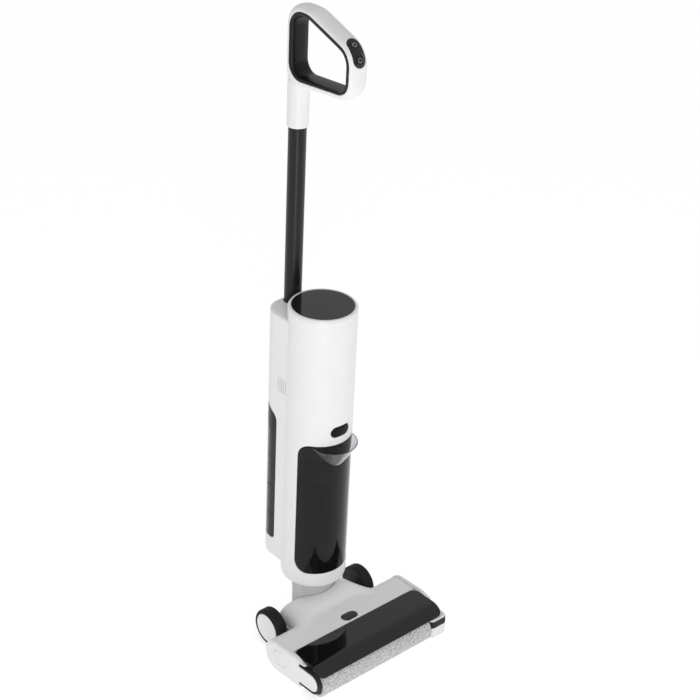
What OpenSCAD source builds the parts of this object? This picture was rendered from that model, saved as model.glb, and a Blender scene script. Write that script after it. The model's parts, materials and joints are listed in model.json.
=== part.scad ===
// Cordless wet-and-dry floor washer: floor head, tilting neck, upright body, tube and handle.
// All lengths are in millimetres. X runs along the roller, -Y is the front and +Z is up.
// The origin is on the floor, below the middle of the whole machine.

/* [Stance] */
// Forward lean of the parked upright, in degrees
lean = 3.7; // [2:0.1:4.5]
// Height of the body's lower face above the floor, on its axis
base_z = 104.4; // [104:0.2:112]

/* [Upright body] */
// Radius of the round front
body_r = 56; // [55.6:0.1:56.6]
// Length of the body along its own axis
body_len = 519; // [515:1:530]
// Half width of the flat side walls
side_x = 51.5; // [51.2:0.1:51.8]
// Distance from the body's axis to the rear wall
rear_y = 91.5; // [90.5:0.5:92.5]
// Radius of the two rear corners
rear_r = 36; // [30:1:40]
// Height of the rear housing's flat top above the body's lower face
rear_top = 495; // [492:1:498]
// Height of the rear housing's underside above the body's lower face
rear_bottom = 24; // [22:1:25]
// Wall thickness of the body shells
wall = 2.6; // [2:0.1:2.8]

/* [Tanks] */
// Lower edge of the front tank window
window_low = 30; // [29:0.5:32]
// Upper edge of the front tank window
window_high = 287; // [286:0.5:287.5]
// Wall thickness of both tanks
tank_wall = 2.2; // [1.6:0.1:2.6]
// Height at which the dirty water tank's cup meets its lid
cup_top = 258; // [250:1:262]
// Height at which the clean water tank meets its cap
clean_top = 277; // [270:1:285]

/* [Tube and handle] */
// Outer radius of the tube
tube_r = 14.3; // [14:0.1:14.6]
// Distance from the body's axis to the tube's axis
tube_y = 75; // [74.5:0.1:75.5]
// Height of the handle stem's lower end
stem_low = 795; // [780:1:810]
// Half width of the handle loop
loop_half = 16.5; // [15:0.5:18]

/* [Floor head] */
// Half width of the head over both end caps
head_half = 145; // [144:0.5:147]
// Thickness of each end cap's plate
cap_t = 8; // [7:0.5:8.5]
// Radius of the fleece roller
roller_r = 23.5; // [23:0.1:23.8]
// Distance of the roller's axis in front of the body's foot
roller_y = -166; // [-166.6:0.2:-165.8]
// Height of the head's flat top
head_top_z = 57.4; // [57.4:0.2:59]
// Front edge of the white top shell, where the black cover starts
cover_rear_y = -110.3; // [-112:0.1:-110]

/* [Wheels] */
// Radius of the rear wheels
wheel_r = 33; // [32:0.5:33.5]
// Width of a wheel
wheel_w = 22; // [18:1:22]
// Distance of the wheel axle in front of the body's foot
axle_y = -6; // [-7:0.5:-5]
// Distance from the middle of the head to the inner face of a wheel
wheel_x = 88; // [86:1:90]

/* [Hidden] */
$fn = 96;

// Colours
white = [0.93, 0.93, 0.93];
black = [0.06, 0.06, 0.06];
dark = [0.16, 0.16, 0.17];
grey = [0.55, 0.56, 0.57];
smoke = [0.12, 0.13, 0.16, 0.6];
steel = [0.72, 0.73, 0.75];
fleece = [0.78, 0.78, 0.78];
board_green = [0.05, 0.3, 0.16];
copper = [0.75, 0.5, 0.2];

// Gaps
gap = 0.4;
run = 0.05;
eps = 0.01;
far = 400;

// Body frame
split_y = sqrt(pow(body_r, 2) - pow(side_x, 2));
rear_cx = side_x - rear_r;
rear_cy = rear_y - rear_r;
foot_reach = rear_y * cos(lean) - rear_bottom * sin(lean);
base_y = (roller_r - roller_y - foot_reach) / 2;
floor_t = 3;
rim_low = body_len - 7;
lens_r = 50.4;
lens_t = 2;
lens_low = body_len - lens_t;
deck_t = 3;
low_round = 7;
high_round = 4;
frame_y = 19.5;
frame_half = 48.5;
frame_high = 410;
frame_cut = frame_y + deck_t - 0.1;
frame_clear = frame_y - 0.3;
rail_x = 45;
board_r = 44;
board_z = 506;
board_t = 1.6;

// Front window and dirty water tank
window_y = -body_r * cos(76.5);
window_corner = 24;
tank_back = 17;
tank_half = 50.4;
tank_corner = 16;
tank_low = window_low + 0.5;
tank_high = window_high - 0.6;
tank_floor = 3;
pipe_y = -8;
pipe_r = 13;
pipe_bore = 11;
pipe_high = 236;
float_low = 196;
float_h = 12;
spout_y = -36;
spout_low = 245;
spout_high = 282;
spout_low_r = 20;
spout_high_r = 42;
button_z = 311;
button_half = 18;
button_r = 9;
button_proud = 0.6;
lid_bore = 22;
lid_floor = 4;
inlet_r = 6;
lip_wall = 0.6;
lip_back = -20;
collar_h = 3;

// Clean water tank
bay_front = 46;
bay_low = 58.5;
bay_side_top = 305;
bay_rear_top = 326;
bay_low_round = 9;
bay_side_round = 18;
bay_top_round = 20;
filler_r = 11;
filler_x = 28;
filler_y = 66;

// Upper body
fan_low = 324;
fan_r = 36;
motor_low = 346;
motor_high = 398;
motor_r = 34;
shaft_r = 4;
motor_step = 8;
motor_inset = 12;
fan_blade_r = 18;
fan_hub_r = 6;
fan_inlet_r = 12;
fan_blades = 9;
main_board_half = 36;
main_board_y = 52;
main_board_low = 334;
main_board_high = 424;
filter_t = 4;
pump_r = 9;
pump_half = 14;
pump_y = 36;
pump_z = 300;
line_r = 2.5;
line_x = 20;
cell_r = 10.5;
cell_len = 70;
cell_low = 412;
cell_ring = 21.6;
vent_low = 358;
vent_high = 384;
vent_first = 26;
vent_pitch = 4.6;
vent_count = 5;
vent_w = 2.2;

// Handle
tube_wall = 1.6;
tube_low = 436;
tube_high = 858;
stem_r = 17;
stem_high = 900;
nose_y = -17;
nose_z = 924.4;
nose_r = 45;
panel_tilt = 35;
power_tilt = 50;
mode_tilt = 19.5;
key_r = 6.5;
panel_half = 24;
panel_r = 11.5;
panel_t = 3;
key_proud = 0.4;
key_t = 2;
key_stem = 2.6;

// Floor head
parting_z = 33;
hump_half = 80;
hump_y = -30;
hump_z = 40;
hump_r = 33;
skin = 2.5;
cover_t = 2.4;
cover_bend = -168;
cover_half = head_half - cap_t - 0.5;
cover_front = -184.2;
cover_corner = 13;
pill_y = -96;
pill_half = 15.5;
pill_r = 9.5;
pill_low = 50;
roller_z = roller_r;
roller_left = -cover_half + 1.5;
roller_right = 107;
drive_wall = 109;
core_r = 18;
core_bore = 16;
motor_y = -113;
motor_z = 30;
small_pulley_r = 6.5;
large_pulley_r = 13;
pulley_x = 113;
pulley_w = 10;
belt_t = 1.6;
pin_r = 4;
stub_r = 3;
motor_body_r = 16;
motor_left = 42;
motor_right = 107.4;
square_half = 6;
axle_z = wheel_r;
ear_in = 37.6;
ear_out = 43;
barrel_r = 22;
neck_half = 36;
neck_front = -33;
neck_rear = 16;
neck_arc_r = 52;
neck_top_r = 28;
hose_r = 15.5;
axle_x = 108;
side_rear = -48;
side_low = 2;
side_top = 60;
seam_y = -136;
nose_front = -183;
bumper_front = -187;
bumper_low = 12;
bumper_high = 51;
nose_low = 15.5;
nose_high = 47.5;
nose_round = 15;
end_r = 24;
cap_key_y = -87;
cap_key_z = 34.5;
cap_key_half = 17;
cap_key_r = 13;
drive_low = 4;
drive_high = 41;
band_low = 25;
band_high = 38;
duct_half = 28;
duct_low = 8;
duct_high = 26;
duct_wall = 2;
spray_low = 45.6;
spray_high = 50.6;
spray_pitch = 24;
contact_x = 56;
contact_half = 5;
contact_low = 20;
contact_high = 28;
screw_r = 3;
screw_high = 12;
neck_low = -66;
neck_corner = 10;
spigot_high = 9;
ring_r = 32;
ring_high = 7;
hose_low = -55;
hose_high = 24;

// Points of one rounded corner of an outline: each corner is [x, y, radius]
function corner(a, b, c, n) =
  let (
    p = [b[0], b[1]],
    u = ([a[0], a[1]] - p) / norm([a[0], a[1]] - p),
    v = ([c[0], c[1]] - p) / norm([c[0], c[1]] - p),
    half = acos(u * v) / 2,
    centre = p + (u + v) / norm(u + v) * b[2] / sin(half),
    from = p + u * b[2] / tan(half) - centre,
    to = p + v * b[2] / tan(half) - centre,
    start = atan2(from[1], from[0]),
    turn = atan2(from[0] * to[1] - from[1] * to[0], from * to)
  )
  b[2] < eps ? [p] : [
    for (i = [0:n]) centre + b[2] * [cos(start + turn * i / n), sin(start + turn * i / n)]
  ];

// Closed outline with rounded corners
function rounded(corners, n = 10) = [
  for (i = [0:len(corners) - 1])
    each corner(corners[(i + len(corners) - 1) % len(corners)], corners[i],
      corners[(i + 1) % len(corners)], n)
];

// Places children in the leaning body frame: Z along the body, Y towards its rear
module in_body() {
  translate([0, base_y, base_z])
    rotate([lean, 0, 0])
      children();
}

// Places children in the head frame: Y counted from the body's foot, Z from the floor
module in_head() {
  translate([0, base_y, 0])
    children();
}

// Extrudes a [y, z] outline along X from x0 to x1
module along_x(x0, x1) {
  translate([x0, 0, 0])
    rotate([90, 0, 90])
      linear_extrude(x1 - x0)
        children();
}

// Box between two corners
module block(x0, x1, y0, y1, z0, z1) {
  translate([x0, y0, z0])
    cube([x1 - x0, y1 - y0, z1 - z0]);
}

// Round bar along X
module rod_x(r, x0, x1, y, z) {
  translate([x0, y, z])
    rotate([0, 90, 0])
      cylinder(r = r, h = x1 - x0);
}

// Upright cylinder
module post(r, z0, z1, x = 0, y = 0) {
  translate([x, y, z0])
    cylinder(r = r, h = z1 - z0);
}

// Rectangle with rounded corners between two corners
module rounded_rect(x0, x1, y0, y1, r) {
  translate([x0 + r, y0])
    square([x1 - x0 - 2 * r, y1 - y0]);
  translate([x0, y0 + r])
    square([x1 - x0, y1 - y0 - 2 * r]);
  for (x = [x0 + r, x1 - r], y = [y0 + r, y1 - r])
    translate([x, y])
      circle(r);
}

// Lozenge with round ends along X, centred on the origin
module pill(half, r) {
  square([2 * (half - r), 2 * r], center = true);
  for (side = [-1, 1])
    translate([side * (half - r), 0])
      circle(r);
}

// ---- Upright body ----

// Plan of the rear housing behind the split line, drawn smaller by inset
module rear_plan(inset = 0, front = split_y) {
  translate([-side_x + inset, front])
    square([2 * (side_x - inset), rear_cy - front]);
  translate([-rear_cx, front])
    square([2 * rear_cx, rear_y - inset - front]);
  for (side = [-1, 1])
    intersection() {
      translate([side * rear_cx, rear_cy])
        circle(rear_r - inset);
      translate([-far, rear_cy - eps])
        square([2 * far, far]);
    }
}

// Round body column with a softened lower edge and a softened upper edge
module column(r, z0, z1, low_round, high_round) {
  rotate_extrude()
    intersection() {
      union() {
        translate([0, z0])
          square([r - low_round, z1 - z0]);
        translate([0, z0 + low_round])
          square([r - high_round, z1 - z0 - low_round]);
        translate([0, z0 + low_round])
          square([r, z1 - z0 - low_round - high_round]);
        translate([r - low_round, z0 + low_round])
          circle(low_round);
        translate([r - high_round, z1 - high_round])
          circle(high_round);
      }
      translate([0, z0])
        square([r, z1 - z0]);
    }
}

module front_shell() {
  color(white)
    in_body()
      difference() {
        column(body_r, 0, body_len, low_round, high_round);
        block(-far, far, split_y, far, rear_bottom, rear_top);
        post(body_r - wall, floor_t, rim_low);
        post(lens_r - 3, rim_low - eps, body_len);
        post(lens_r + 0.2, lens_low, body_len + 1);
        post(neck_top_r + run, -1, floor_t + 1);
        along_x(-far, far)
          polygon(rounded([
            [-2 * body_r, window_low, 0], [window_y, window_low, window_corner],
            [window_y, window_high, window_corner], [-2 * body_r, window_high, 0]
          ]));
        tank_button_prism(gap);
      }
}

// Outline of the clean tank bay seen from the side, drawn smaller by inset
module bay_outline(inset = 0) {
  polygon(rounded([
    [bay_front + inset, bay_low + inset, bay_low_round], [2 * rear_y, bay_low + inset, 0],
    [2 * rear_y, bay_rear_top - inset, 0], [rear_cy + 22, bay_rear_top - inset, bay_top_round],
    [bay_front + inset, bay_side_top - inset, bay_side_round]
  ]));
}

module vents(depth) {
  for (side = [-1, 1], i = [0:vent_count - 1])
    translate([side * side_x, vent_first + i * vent_pitch, 0])
      block(-depth, depth, -vent_w / 2, vent_w / 2, vent_low, vent_high);
}

module rear_shell() {
  color(white)
    in_body()
      difference() {
        translate([0, 0, rear_bottom])
          linear_extrude(rear_top - rear_bottom)
            rear_plan();
        translate([0, 0, rear_bottom + wall])
          linear_extrude(rear_top - rear_bottom - 2 * wall)
            rear_plan(wall, split_y - 1);
        post(body_r + 0.2, rear_bottom - 1, rear_bottom + wall + 1);
        post(body_r - wall, rear_top - wall - 1, rear_top + 1);
        along_x(-far, far)
          bay_outline();
        vents(4);
        post(tube_r + run, tube_low - 1, rear_top + 1, 0, tube_y);
      }
}

module inner_frame() {
  color(dark)
    in_body() {
      // wall behind the dirty tank, split around the clean tank's side
      block(-frame_half, frame_half, frame_y, frame_y + deck_t, window_low - 1, frame_high);
      // floor under the dirty tank
      difference() {
        post(body_r - wall - gap, window_low - 4, window_low - 1);
        block(-far, far, frame_cut, far, 0, far);
        post(pipe_r, 0, far, 0, pipe_y);
      }
      // ceiling over the dirty tank
      difference() {
        post(body_r - wall - gap, window_high + 0.6, window_high + 0.6 + deck_t);
        block(-far, far, frame_cut, far, 0, far);
        post(lid_bore + 2, 0, far, 0, pipe_y);
      }
      // deck between motor and battery
      difference() {
        post(50, motor_high + 6, motor_high + 6 + deck_t);
        block(-far, far, frame_cut, far, 0, body_len);
      }
      // side rails up to the top deck
      for (side = [-1, 1])
        translate([side * rail_x, 14, 0])
          block(-2, 2, 0, 6, motor_high + 6, rear_top + 5);
      difference() {
        post(50, rear_top + 1, rear_top + 1 + deck_t);
        post(30, rear_top, body_len);
      }
    }
}

module lid_lens() {
  color(black)
    in_body()
      post(lens_r, lens_low, body_len);
}

module display_board() {
  color(board_green)
    in_body() {
      post(board_r, board_z, board_z + board_t);
      translate([0, 0, board_z + board_t])
        linear_extrude(4)
          square([40, 28], center = true);
    }
}

module battery_cells() {
  color("steelblue")
    in_body() {
      post(cell_r, cell_low, cell_low + cell_len);
      for (i = [0:5])
        rotate([0, 0, i * 60])
          post(cell_r, cell_low, cell_low + cell_len, cell_ring, 0);
    }
}

module suction_motor() {
  color(steel)
    in_body()
      difference() {
        union() {
          post(motor_r, motor_low, motor_high - motor_step);
          post(motor_r - motor_inset, motor_high - motor_step, motor_high);
        }
        // the frame's wall passes behind the motor
        block(-far, far, frame_clear, far, 0, far);
        post(shaft_r + run, motor_low - 1, motor_low + 24);
      }
}

module fan_housing() {
  color(dark)
    in_body()
      difference() {
        post(fan_r + 4, fan_low - 3, motor_low - 0.2);
        block(-far, far, frame_clear, far, 0, far);
        post(fan_blade_r + 0.6, fan_low - 0.4, motor_low);
        post(fan_inlet_r, fan_low - 4, motor_low);
      }
}

module fan_impeller() {
  color(steel)
    in_body() {
      post(fan_blade_r, fan_low, fan_low + 2);
      post(fan_hub_r, fan_low, motor_low - 4);
      post(shaft_r, motor_low - 4, motor_low + 22);
      for (i = [1:fan_blades])
        rotate([0, 0, i * 360 / fan_blades])
          block(fan_hub_r - 1, fan_blade_r - 1, -0.7, 0.7, fan_low + 1, fan_low + 12);
    }
}

module main_board() {
  color(board_green)
    in_body() {
      block(-main_board_half, main_board_half, main_board_y, main_board_y + board_t,
        main_board_low, main_board_high);
      for (i = [0:2])
        translate([0, main_board_y + board_t, main_board_low + 10 + i * 22])
          block(-20, 20, 0, 6.4, 0, 14);
    }
}

module exhaust_filters() {
  color(fleece)
    in_body()
      for (side = [-1, 1])
        translate([side * (side_x - wall - 0.2 - filter_t / 2), 0, 0])
          block(-filter_t / 2, filter_t / 2, vent_first - 2.8, bay_front + 2, vent_low - 5,
            vent_high + 5);
}

module water_pump() {
  color(dark)
    in_body() {
      rod_x(pump_r, -pump_half, pump_half, pump_y, pump_z);
      block(pump_half, pump_half + 12, pump_y - 8, pump_y + 8, pump_z - 8, pump_z + 8);
      post(3, pump_z + 8, pump_z + 22, line_x, pump_y);
    }
}

// Water line from the clean tank's foot up to the pump and down to the neck
module water_line() {
  color(grey)
    in_body() {
      post(line_r, 36, pump_z + line_r, -line_x, pump_y);
      rod_x(line_r, -line_x - line_r, -pump_half, pump_y, pump_z);
    }
}

module tube_socket() {
  color(dark)
    in_body()
      difference() {
        post(tube_r + 1.7, tube_low - 4, rear_top - wall, 0, tube_y);
        post(tube_r + run, tube_low, rear_top, 0, tube_y);
        block(-far, far, rear_y - wall, far, 0, body_len);
      }
}

module tank_button_prism(grow) {
  translate([0, -body_r - 6, button_z])
    rotate([-90, 0, 0])
      linear_extrude(20)
        pill(button_half + grow, button_r + grow);
}

module tank_button() {
  color(black)
    in_body()
      intersection() {
        tank_button_prism(0);
        difference() {
          post(body_r + button_proud, button_z - 20, button_z + 20);
          post(body_r - 7, button_z - 21, button_z + 21);
        }
      }
}

// ---- Dirty water tank ----

// Plan of the dirty tank, drawn smaller by inset
module tank_plan(inset = 0) {
  intersection() {
    circle(body_r - gap - inset);
    translate([-far, -far])
      square([2 * far, far + window_y - gap - inset]);
  }
  translate([-tank_half + inset, window_y - gap - inset - eps])
    square([2 * (tank_half - inset), tank_back - window_y - 10 + eps]);
  difference() {
    rounded_rect(-tank_half + inset, tank_half - inset, -tank_back, tank_back - inset, 10 - inset);
    translate([-far, -far])
      square([2 * far, far]);
  }
}

// Solid of the tank's outer shape between two heights: its front fills the window, and its
// rear has cut corners that pass the window's corners as the tank slides out
module tank_solid(z0, z1, inset = 0) {
  intersection() {
    translate([0, 0, z0])
      linear_extrude(z1 - z0)
        tank_plan(inset);
    union() {
      along_x(-far, far)
        polygon(rounded([
          [-2 * body_r, tank_low + inset, 0],
          [window_y - gap - inset, tank_low + inset, window_corner - inset],
          [window_y - gap - inset, tank_high, window_corner - inset],
          [-2 * body_r, tank_high, 0]
        ]));
      translate([0, tank_back, 0])
        rotate([90, 0, 0])
          linear_extrude(tank_back - window_y + 16)
            rounded_rect(-tank_half + inset, tank_half - inset, tank_low + inset, tank_high,
              tank_corner - inset);
    }
  }
}

module dirty_tank() {
  color(smoke)
    in_body()
      difference() {
        tank_solid(tank_low, cup_top);
        intersection() {
          tank_solid(tank_low + tank_floor, cup_top + 1, tank_wall);
          block(-far, far, -far, far, 0, cup_top + 1);
        }
        post(pipe_bore, tank_low - 1, tank_low + 10, 0, pipe_y);
      }
}

module dirty_tank_lid() {
  color(black)
    in_body()
      difference() {
        tank_solid(cup_top, tank_high);
        post(lid_bore, cup_top + lid_floor, tank_high + 1, 0, pipe_y);
        post(inlet_r, cup_top - 1, cup_top + lid_floor + 1, 0, pipe_y - pipe_r);
      }
}

module tank_filter() {
  color(fleece)
    in_body()
      difference() {
        post(lid_bore - 0.3, cup_top + lid_floor, tank_high - 2, 0, pipe_y);
        post(9, cup_top + 3, tank_high, 0, pipe_y);
      }
}

module tank_spout() {
  color(smoke)
    in_body()
      difference() {
        translate([0, spout_y, spout_low])
          cylinder(r1 = spout_low_r, r2 = spout_high_r, h = spout_high - spout_low);
        translate([0, spout_y, spout_low + 3])
          cylinder(r1 = spout_low_r - lip_wall, r2 = spout_high_r - lip_wall, h = spout_high - spout_low);
        post(body_r - gap, spout_low - 1, spout_high + 1);
        block(-far, far, lip_back, far, spout_low - 1, spout_high + 1);
      }
}

module standpipe() {
  color(dark)
    in_body()
      translate([0, pipe_y, 0])
        difference() {
          union() {
            post(pipe_r, tank_low + tank_floor, pipe_high);
            post(pipe_r + 3, float_low - collar_h, float_low);
          }
          post(pipe_bore, tank_low, pipe_high - 3);
          for (a = [0, 90])
            rotate([0, 0, a])
              block(-20, 20, -5, 5, float_low + float_h + 14, pipe_high - 6);
        }
}

module tank_float() {
  color(grey)
    in_body()
      difference() {
        post(pipe_r + 7, float_low, float_low + float_h, 0, pipe_y);
        post(pipe_r + 0.3, float_low - 1, float_low + float_h + 1, 0, pipe_y);
      }
}

// ---- Clean water tank ----

module clean_solid(z0, z1, inset) {
  intersection() {
    translate([0, 0, z0])
      linear_extrude(z1 - z0)
        difference() {
          rear_plan(0.3 + inset);
          translate([-far, -far])
            square([2 * far, far + bay_front + gap + inset]);
        }
    along_x(-far, far)
      bay_outline(gap + inset);
  }
}

module clean_tank() {
  color(smoke)
    in_body()
      difference() {
        clean_solid(bay_low, clean_top, 0);
        clean_solid(bay_low, clean_top + 1, tank_wall);
      }
}

module clean_tank_cap() {
  color(black)
    in_body()
      difference() {
        clean_solid(clean_top, bay_rear_top, 0);
        // filler mouth with its plug's seat
        post(filler_r, clean_top - 1, clean_top + 12, filler_x, filler_y);
      }
}

// ---- Tube and handle ----

module tube() {
  color(black)
    in_body()
      difference() {
        post(tube_r, tube_low, tube_high, 0, tube_y);
        post(tube_r - tube_wall, tube_low - 1, tube_high + 1, 0, tube_y);
      }
}

// Outer outline of the handle loop, seen from the side
function loop_outer() = rounded([
  [rear_y, 862, 5], [57, 863, 6], [-62, 874.5, 34], [-62, 956, nose_r], [33, 990, 42],
  [rear_y, 990, 32]
]);

// Outline of the grip's outer edge
function loop_middle() = rounded([
  [80, 873, 26], [-53.5, 884.5, 24], [-53.5, 948.6, 30], [38, 981, 26], [80, 981, 28]
]);

// Outline of the finger hole
function loop_inner() = rounded([
  [72, 880.5, 20], [-45.5, 888, 16], [-45.5, 943, 22], [39, 973, 18], [72, 973, 20]
]);

// Recess or body of the pill-shaped panel on the handle's nose
module panel_solid(grow, r_in, r_out) {
  intersection() {
    along_x(-20, 20)
      difference() {
        translate([nose_y, nose_z])
          circle(r_out);
        translate([nose_y, nose_z])
          circle(r_in);
      }
    translate([0, nose_y, nose_z])
      rotate([90 - panel_tilt, 0, 0])
        linear_extrude(2 * nose_r)
          rotate(90)
            pill(panel_half + grow, panel_r + grow);
  }
}

// Round key through the panel at an angle round the nose
module key_prism(tilt, r, r_in, r_out) {
  translate([0, nose_y, nose_z])
    rotate([90 - tilt, 0, 0])
      post(r, r_in, r_out);
}

module handle_shell() {
  color(white)
    in_body()
      difference() {
        union() {
          along_x(-loop_half, loop_half)
            polygon(loop_outer());
          post(stem_r, stem_low, stem_high, 0, tube_y);
        }
        along_x(-far, far)
          polygon(loop_middle());
        post(tube_r + run, stem_low - 1, tube_high + 1, 0, tube_y);
        panel_solid(0.2, nose_r - panel_t - 0.2, nose_r + 5);
        for (tilt = [power_tilt, mode_tilt])
          key_prism(tilt, key_r - 0.6, nose_r - 6, nose_r);
      }
}

module handle_grip() {
  color(black)
    in_body()
      difference() {
        along_x(-loop_half - gap, loop_half + gap)
          polygon(loop_middle());
        along_x(-far, far)
          polygon(loop_inner());
      }
}

module handle_panel() {
  color(black)
    in_body()
      difference() {
        panel_solid(0, nose_r - panel_t, nose_r + key_proud);
        for (tilt = [power_tilt, mode_tilt])
          key_prism(tilt, key_r + 0.3, nose_r - 8, nose_r + 5);
      }
}

module handle_key(tilt) {
  color(dark)
    in_body() {
      key_prism(tilt, key_r, nose_r + key_proud - key_t, nose_r + key_proud);
      key_prism(tilt, key_r - 1.2, nose_r + key_proud - key_t - key_stem, nose_r + key_proud - key_t);
    }
}

module power_button() handle_key(power_tilt);

module mode_button() handle_key(mode_tilt);

// ---- Floor head ----

// Side outline of the head behind the roller, drawn smaller by inset
module head_profile(front, inset = 0) {
  polygon(rounded([
    [front, side_low + 1 + inset, 0], [front, head_top_z - inset, 0],
    [side_rear - inset, side_top - inset, end_r - inset],
    [side_rear - inset, side_low + 1 + inset, end_r + 2 - inset]
  ]));
}

// Side outline of the raised middle of the base
module hump_profile(inset = 0) {
  polygon(rounded([
    [-80, side_low + 1 + inset, 0], [-80, parting_z + 1, 0],
    [hump_y + hump_r - inset, parting_z + 1, 0],
    [hump_y + hump_r - inset, side_low + 1 + inset, 16 - inset]
  ]));
}

// Plan of the neck's column, drawn larger by grow
module neck_plan(grow = 0) {
  intersection() {
    translate([0, neck_front + neck_arc_r])
      circle(neck_arc_r + grow);
    rounded_rect(-neck_half - grow, neck_half + grow, neck_front - 6, neck_rear + grow, neck_corner);
  }
}

// Positions of the screws that close the head from below
screw_spots = [[-118, -75], [-60, -75], [60, -75], [118, -75], [-62, -20], [62, -20]];

module head_base() {
  color(white)
    in_head()
      difference() {
        union() {
          difference() {
            union() {
              along_x(-cover_half, cover_half)
                head_profile(seam_y - 3);
              along_x(-hump_half, hump_half)
                hump_profile();
            }
            along_x(-cover_half + skin, cover_half - skin)
              head_profile(seam_y - 0.5, skin);
            along_x(-hump_half + skin, hump_half - skin)
              hump_profile(skin);
            block(-far, far, seam_y + 0.1, far, parting_z, far);
            block(-far, far, -far, far, 50, far);
          }
          // ears that carry the neck's pivot
          for (side = [-1, 1])
            translate([side * (ear_in + ear_out) / 2, 0, 0])
              block((ear_in - ear_out) / 2, (ear_out - ear_in) / 2, -20, -1, side_low + 2, 44);
          // bracket behind the roller motor's face
          block(107.6, 110, seam_y - 1, -92, side_low + 2, 48);
        }
        rod_x(pin_r, -far, far, axle_y, axle_z);
        rod_x(barrel_r + 0.8, -neck_half - 1.2, neck_half + 1.2, axle_y, axle_z);
        block(-neck_half - 1.2, neck_half + 1.2, axle_y, 20, 7, far);
        rod_x(small_pulley_r + 3, 100, 120, motor_y, motor_z);
        block(111, 127, seam_y - 4, seam_y + 1, 6, 46);
        block(duct_wall - duct_half, duct_half - duct_wall, seam_y - 4, seam_y + 1,
          duct_low + duct_wall, duct_high - duct_wall);
        for (p = screw_spots)
          post(screw_r + run, 0, screw_high, p[0], p[1]);
      }
}

// Plan of the black cover, drawn larger by grow
module cover_plan(grow = 0) {
  rounded_rect(-cover_half - grow, cover_half + grow, cover_front - grow, cover_rear_y + grow,
    cover_corner);
}

module head_top() {
  color(white)
    difference() {
      in_head()
        difference() {
          union() {
            along_x(-cover_half, cover_half)
              head_profile(seam_y + 0.3);
            rod_x(hump_r, -hump_half, hump_half, hump_y, hump_z);
          }
          block(-far, far, -far, far, -1, parting_z);
          along_x(-cover_half + skin, cover_half - skin)
            polygon(rounded([
              [-112, parting_z - 5, 0], [-112, head_top_z - skin, 0],
              [side_rear - skin, side_top - skin, end_r - skin], [side_rear - skin, parting_z - 5, 0]
            ]));
          block(-cover_half + skin, cover_half - skin, seam_y - 1, -111, 0, 51);
          rod_x(hump_r - skin, -hump_half + skin, hump_half - skin, hump_y, hump_z);
          translate([0, 0, head_top_z - cover_t - gap])
            linear_extrude(20)
              cover_plan(gap);
          translate([0, pill_y, pill_low])
            linear_extrude(20)
              pill(pill_half + gap, pill_r + gap);
          for (side = [-1, 1])
            rod_x(pin_r + 0.1, side > 0 ? 70 : -90, side > 0 ? 90 : -70, axle_y, axle_z);
          block(-neck_half - 1.2, neck_half + 1.2, axle_y, 60, 0, far);
        }
      in_body()
        translate([0, 0, -90])
          linear_extrude(90)
            neck_plan(0.8);
    }
}

module roller_cover() {
  color(black)
    in_head()
      intersection() {
        along_x(-cover_half, cover_half)
          polygon(rounded([
            [cover_rear_y, head_top_z, 0.8], [cover_bend, head_top_z, 28], [cover_front, 44.2, 0.5],
            [cover_front + 1.6, 42.2, 0.5], [cover_bend + 0.8, head_top_z - cover_t, 25],
            [cover_rear_y, head_top_z - cover_t, 0]
          ]));
        translate([0, 0, 30])
          linear_extrude(40)
            cover_plan();
      }
}

module cover_button() {
  color(black)
    in_head()
      translate([0, pill_y, pill_low])
        linear_extrude(head_top_z + button_proud - pill_low)
          pill(pill_half, pill_r);
}

module button_spring() {
  color(steel)
    in_head()
      translate([0, pill_y, pill_low - 10])
        difference() {
          cylinder(r = 6, h = 10);
          translate([0, 0, -1])
            cylinder(r = 5, h = 12);
        }
}

// Plate that closes one end of the head, on the left side
module end_plate() {
  along_x(-head_half, -head_half + cap_t)
    polygon(rounded([
      [side_rear, side_low, end_r + 4], [side_rear, side_top, end_r], [-126, side_top, end_r],
      [-152, bumper_high + 0.5, 0], [seam_y, bumper_high + 0.5, 0], [seam_y, side_low, 0]
    ]));
}

module bumper_outline() {
  polygon(rounded([
    [seam_y, bumper_low, 0], [seam_y, bumper_high, 0], [bumper_front, bumper_high, 18],
    [bumper_front, bumper_low, 18]
  ]));
}

module nose_outline() {
  polygon(rounded([
    [seam_y + 2, nose_low, 0], [seam_y + 2, nose_high, 0], [nose_front, nose_high, nose_round],
    [nose_front, nose_low, nose_round]
  ]));
}

module cap_button_prism(grow, x0, x1) {
  translate([0, cap_key_y, cap_key_z])
    along_x(x0, x1)
      pill(cap_key_half + grow, cap_key_r + grow);
}

module left_end_cap() {
  color(white)
    in_head()
      difference() {
        union() {
          end_plate();
          along_x(-head_half + 0.5, -head_half + cap_t)
            nose_outline();
        }
        cap_button_prism(gap, -head_half - 1, -head_half + 6.4);
        rod_x(pin_r, -head_half + 2, -head_half + cap_t + 1, roller_y, roller_z);
      }
}

module left_bumper() {
  color(dark)
    in_head()
      along_x(-head_half, -head_half + cap_t)
        difference() {
          bumper_outline();
          nose_outline();
        }
}

module cap_button() {
  color(white)
    in_head()
      cap_button_prism(0, -head_half, -head_half + 4);
}

// Plan of the drive housing in front of the right end plate
module drive_plan(grow = 0) {
  rounded_rect(drive_wall - grow, head_half - 0.6 + grow, bumper_front + 1.4 - grow, -120, 7 + grow);
}

module right_end_cap() {
  color(white)
    in_head()
      difference() {
        union() {
          mirror([1, 0, 0])
            end_plate();
          difference() {
            translate([0, 0, drive_low])
              linear_extrude(drive_high - drive_low)
                intersection() {
                  drive_plan();
                  translate([0, -far])
                    square([far, far + seam_y - 3.2]);
                }
            block(drive_wall + 2, head_half - cap_t, bumper_front + 4, seam_y + 6, drive_low + 2,
              drive_high - 2);
          }
          rod_x(stub_r, pulley_x + 1, head_half - cap_t + 1, roller_y, roller_z);
        }
        rod_x(9, drive_wall - 1, drive_wall + 3, roller_y, roller_z);
      }
}

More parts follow.
